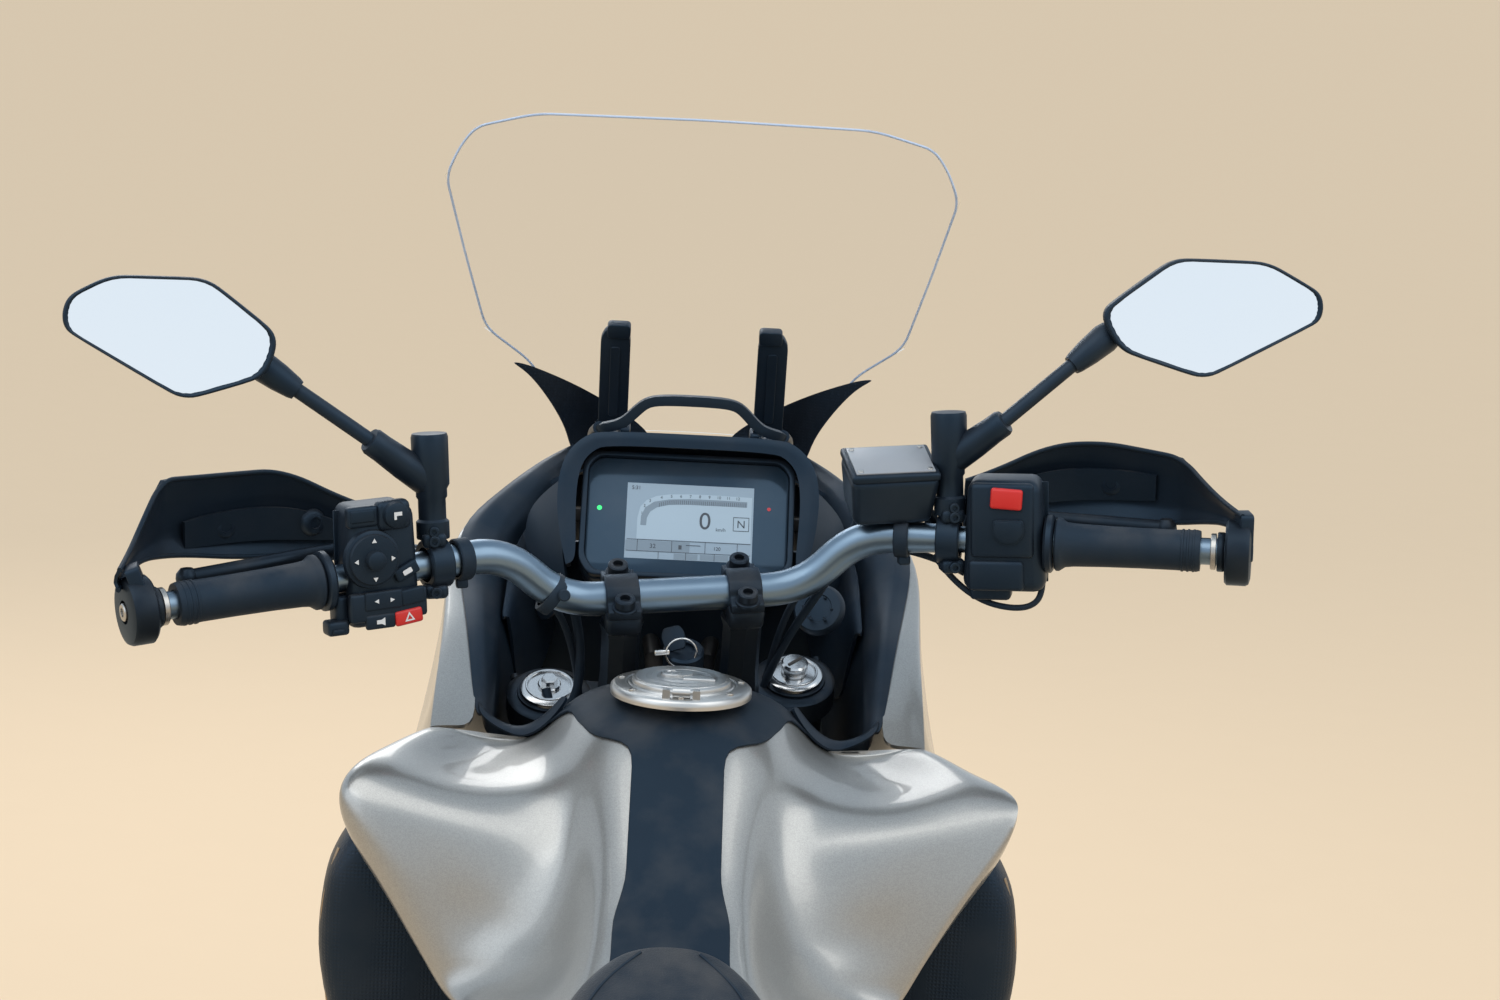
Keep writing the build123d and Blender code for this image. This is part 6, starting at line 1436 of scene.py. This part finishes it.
cover = [place(turned([(0, 6), (12, 6), (12.6, 7.2), (20, 7.2), (22, 5), (23, 0), (0, 0)]), SOCKET, ACROSS, SOCKET_OUT)]
for k in range(6):
    a = k * math.pi / 3
    spoke = Vector((12 * math.cos(a), 7.4 * math.sin(a), 9.4 * math.sin(a)))
    cover.append(place(block((2.2, 9, 2), 0.6), SOCKET + SOCKET_OUT * 8 + spoke))
dress(cover, "socket_cover", "plastic_dark")

# Handlebar: one tube with wide bends, thick in the clamps and thin under the grips
line = bent([grip_point(222, -1), on_bar(-148, -14, 46), on_bar(-101, 0, 0), on_bar(101, 0, 0), on_bar(148, -14, 46),
             grip_point(222, 1)], 30)
line = [grip_point(440, -1)] + line + [grip_point(440, 1)]
rings = []
for k, point in enumerate(line):
    run = (line[min(k + 1, len(line) - 1)] - line[max(k - 1, 0)]).normalized()
    first = run.cross(Vector((0, 1, 0))).normalized()
    second = run.cross(first)
    thick = 14.3 - 3.3 * min(1, max(0, abs(point.x) - 172) / 49)
    turns = [2 * math.pi * n / 32 for n in range(32)]
    rings.append([tuple(point + (first * math.cos(a) + second * math.sin(a)) * thick) for a in turns])
steered(hull(rings, 0), "bent_handlebar", "alloy_bar", ["handlebar"], angle=40)

# Wheels


def tyre(name, node_name, body, centre, outer, width, rim_r, rim_w):
    """A tyre's skin: a profile (across, radius) carried round the axle, with its own map for the tread."""
    shoulder, foot, edge = rim_r + 0.62 * (outer - rim_r), rim_r + 0.3, width / 2
    half = [
        (rim_w / 2 - 0.3, foot), (rim_w / 2 + 0.7, foot + 10), (width * 0.40 + 3, foot + 22),
        (edge - 1.5, shoulder - 24), (edge - 0.6, shoulder - 12), (edge - 3.4, shoulder + 1),
        (edge - 9, shoulder + (outer - shoulder) * 0.32), (width * 0.36, shoulder + (outer - shoulder) * 0.62),
        (width * 0.25, shoulder + (outer - shoulder) * 0.83), (width * 0.12, outer - 1.6), (0, outer - 0.2),
    ]
    profile = half + [(-x, r) for x, r in half[-2::-1]]
    steps, across = 96, len(profile)
    turns = [2 * math.pi * k / steps for k in range(steps + 1)]
    obj = panel([[(x, r * math.cos(a), r * math.sin(a)) for x, r in profile] for a in turns], 0)
    layers = obj.data.uv_layers
    layer = layers.new(name="round")
    for corner in obj.data.loops:
        k = corner.vertex_index
        layer.data[corner.index].uv = ((k // across) / steps, (k % across) / (across - 1))
    for other in [each for each in layers if each.name != "round"]:
        layers.remove(other)
    divided(obj, 1)
    edit(obj, "VERT")
    weld()
    done()
    carried(obj, Matrix.Translation(centre * MM))
    if body == "front_wheel":
        carried(obj, TURN)
    dress(obj, name, "tyre_black", body, replaces=[node_name], angle=60)


tyre("front_tyre_tread", "front_tyre", "front_wheel", FRONT_AXLE, 329, 110, 241, 72)
tyre("rear_tyre_tread", "rear_tyre", "rear_wheel", REAR_AXLE, 321, 150, 216, 112)

# Lamps
lamp_body = hull(slices(
    (884, [(0, 1013), (60, 1013), (104, 1010), (108, 985), (102, 960), (60, 957), (0, 957)]),
    (928, [(0, 1013), (50, 1013), (78, 1010), (80, 985), (74, 960), (50, 957), (0, 957)]),
    (952, [(0, 1012), (38, 1012), (56, 1009), (58, 985), (52, 961), (38, 958), (0, 958)]),
    (957, [(0, 1008), (34, 1008), (48, 1005), (50, 985), (45, 965), (34, 962), (0, 962)]),
), 2, [("r0", 0.8)])
dress(lamp_body, "head_lamp_lens", "lamp_glass", replaces=["headlight"], angle=50)
WIDE_BOWL = [(0, 0), (12, 1), (20, 6), (24, 14), (23, 14), (19, 7), (11, 2.4), (0, 1.4)]
SMALL_BOWL = [(0, 0), (8, 0.6), (14, 4), (17, 10), (16, 10), (13, 5), (7, 1.8), (0, 1.2)]
bowls = []
for s in SIDES:
    for profile, sides, x, y in ((WIDE_BOWL, 40, 30, 918), (SMALL_BOWL, 32, 66, 900)):
        bowls.append(place(turned(profile, sides), (s * x, y, 985), ACROSS, (0, 1, 0)))
dress(bowls, "lamp_bowls", "reflector")

# Stage, light and camera


# A pale matt floor, with the shadows kept
PALE = (0.80, 0.61, 0.42)
pale_floor = Finish("pale floor", Roughness=0.9, Specular_IOR_Level=0.0)
pale_floor.surface(PALE, darker(PALE, 0.985), (0.85, 0.95), 0.0)
bpy.ops.mesh.primitive_plane_add(size=1)
floor = bpy.context.object
floor.name = "floor"
floor.scale = (400, 400, 1)
settle(floor)
carried(floor, Matrix.Translation((0, 150, -0.0005)))
floor.data.materials.append(pale_floor.material)

# A sky that goes from warm at the floor's edge to a cool grey overhead, by the direction's height
STOPS = [(0.0, (0.74, 0.60, 0.44)), (0.02, (0.80, 0.76, 0.70)), (0.10, (0.80, 0.86, 0.92)), (0.45, (0.66, 0.76, 0.86)),
         (1.0, (0.56, 0.67, 0.78))]
world = bpy.data.worlds.new("studio")
bpy.context.scene.world = world
world.use_nodes = True
world.node_tree.nodes.clear()
sky = Net(world.node_tree)
spot = sky.add("TexCoord", {}).outputs["Generated"]
ramp = sky.add("ValToRGB", {0: sky.add("SeparateXYZ", {0: spot}).outputs[2]})
stops = ramp.color_ramp.elements
for stop, (position, colour) in zip((stops[0], stops[1]), (STOPS[0], STOPS[-1])):
    stop.position, stop.color = position, (*colour, 1)
for position, colour in STOPS[1:-1]:
    stops.new(position).color = (*colour, 1)
background = sky.add("Background", {0: ramp.outputs[0], 1: 1.0})
sky.add("OutputWorld", {0: background.outputs[0]})


def shine(name, kind, **settings):
    """Puts a light in the scene."""
    light = bpy.data.lights.new(name, kind)
    for key, value in settings.items():
        setattr(light, key, value)
    obj = bpy.data.objects.new(name, light)
    bpy.context.scene.collection.objects.link(obj)
    return obj


LAMPS = [
    ("key", (2.6, -1.4, 4.2), (0, 0.2, 0.9), (3.6, 3.6), 60, (1.0, 0.965, 0.91)),
    ("fill", (-3.4, -2.0, 3.0), (0, 0.1, 0.8), (3.6, 3.0), 26, (0.9, 0.95, 1.0)),
    ("rim", (-1.2, 4.2, 3.2), (0, 0.3, 0.9), (2.4, 1.6), 36, (1.0, 0.98, 0.95)),
]
for name, at, toward, (width, high), watts, colour in LAMPS:
    lamp = shine(name, "AREA", shape="RECTANGLE", size=width, size_y=high, energy=watts, color=colour)
    lamp.location = at
    lamp.rotation_euler = (Vector(toward) - Vector(at)).to_track_quat("-Z", "Y").to_euler()
sun = shine("soft sun", "SUN", energy=0.85, angle=math.radians(50), color=(1.0, 0.96, 0.90))
sun.rotation_euler = (math.radians(24), math.radians(-22), 0)

# The camera, as fitted to the photo: its turn, its dip, its roll, and its focal length in the photo's pixels
YAW, PITCH, ROLL = math.radians(1.6), math.radians(10.4), math.radians(3.1)
EYE, FOCAL_PIXELS, PHOTO_WIDTH, SENSOR = (-0.020, -2.098, 1.663), 3071, 1500, 36
forward = Vector((math.sin(YAW) * math.cos(PITCH), math.cos(YAW) * math.cos(PITCH), -math.sin(PITCH)))
right = Vector((math.cos(YAW), -math.sin(YAW), 0))
above = right.cross(forward)
right, above = right * math.cos(ROLL) + above * math.sin(ROLL), above * math.cos(ROLL) - right * math.sin(ROLL)
view = bpy.data.cameras.new("photo view")
view.sensor_width = SENSOR
view.lens = FOCAL_PIXELS / PHOTO_WIDTH * SENSOR
camera = bpy.data.objects.new("photo view", view)
bpy.context.scene.collection.objects.link(camera)
camera.matrix_world = Matrix.Translation(EYE) @ Matrix((right, above, -forward)).transposed().to_4x4()
bpy.context.scene.camera = camera

bpy.context.scene.view_settings.view_transform = "Standard"
bpy.context.view_layer.update()
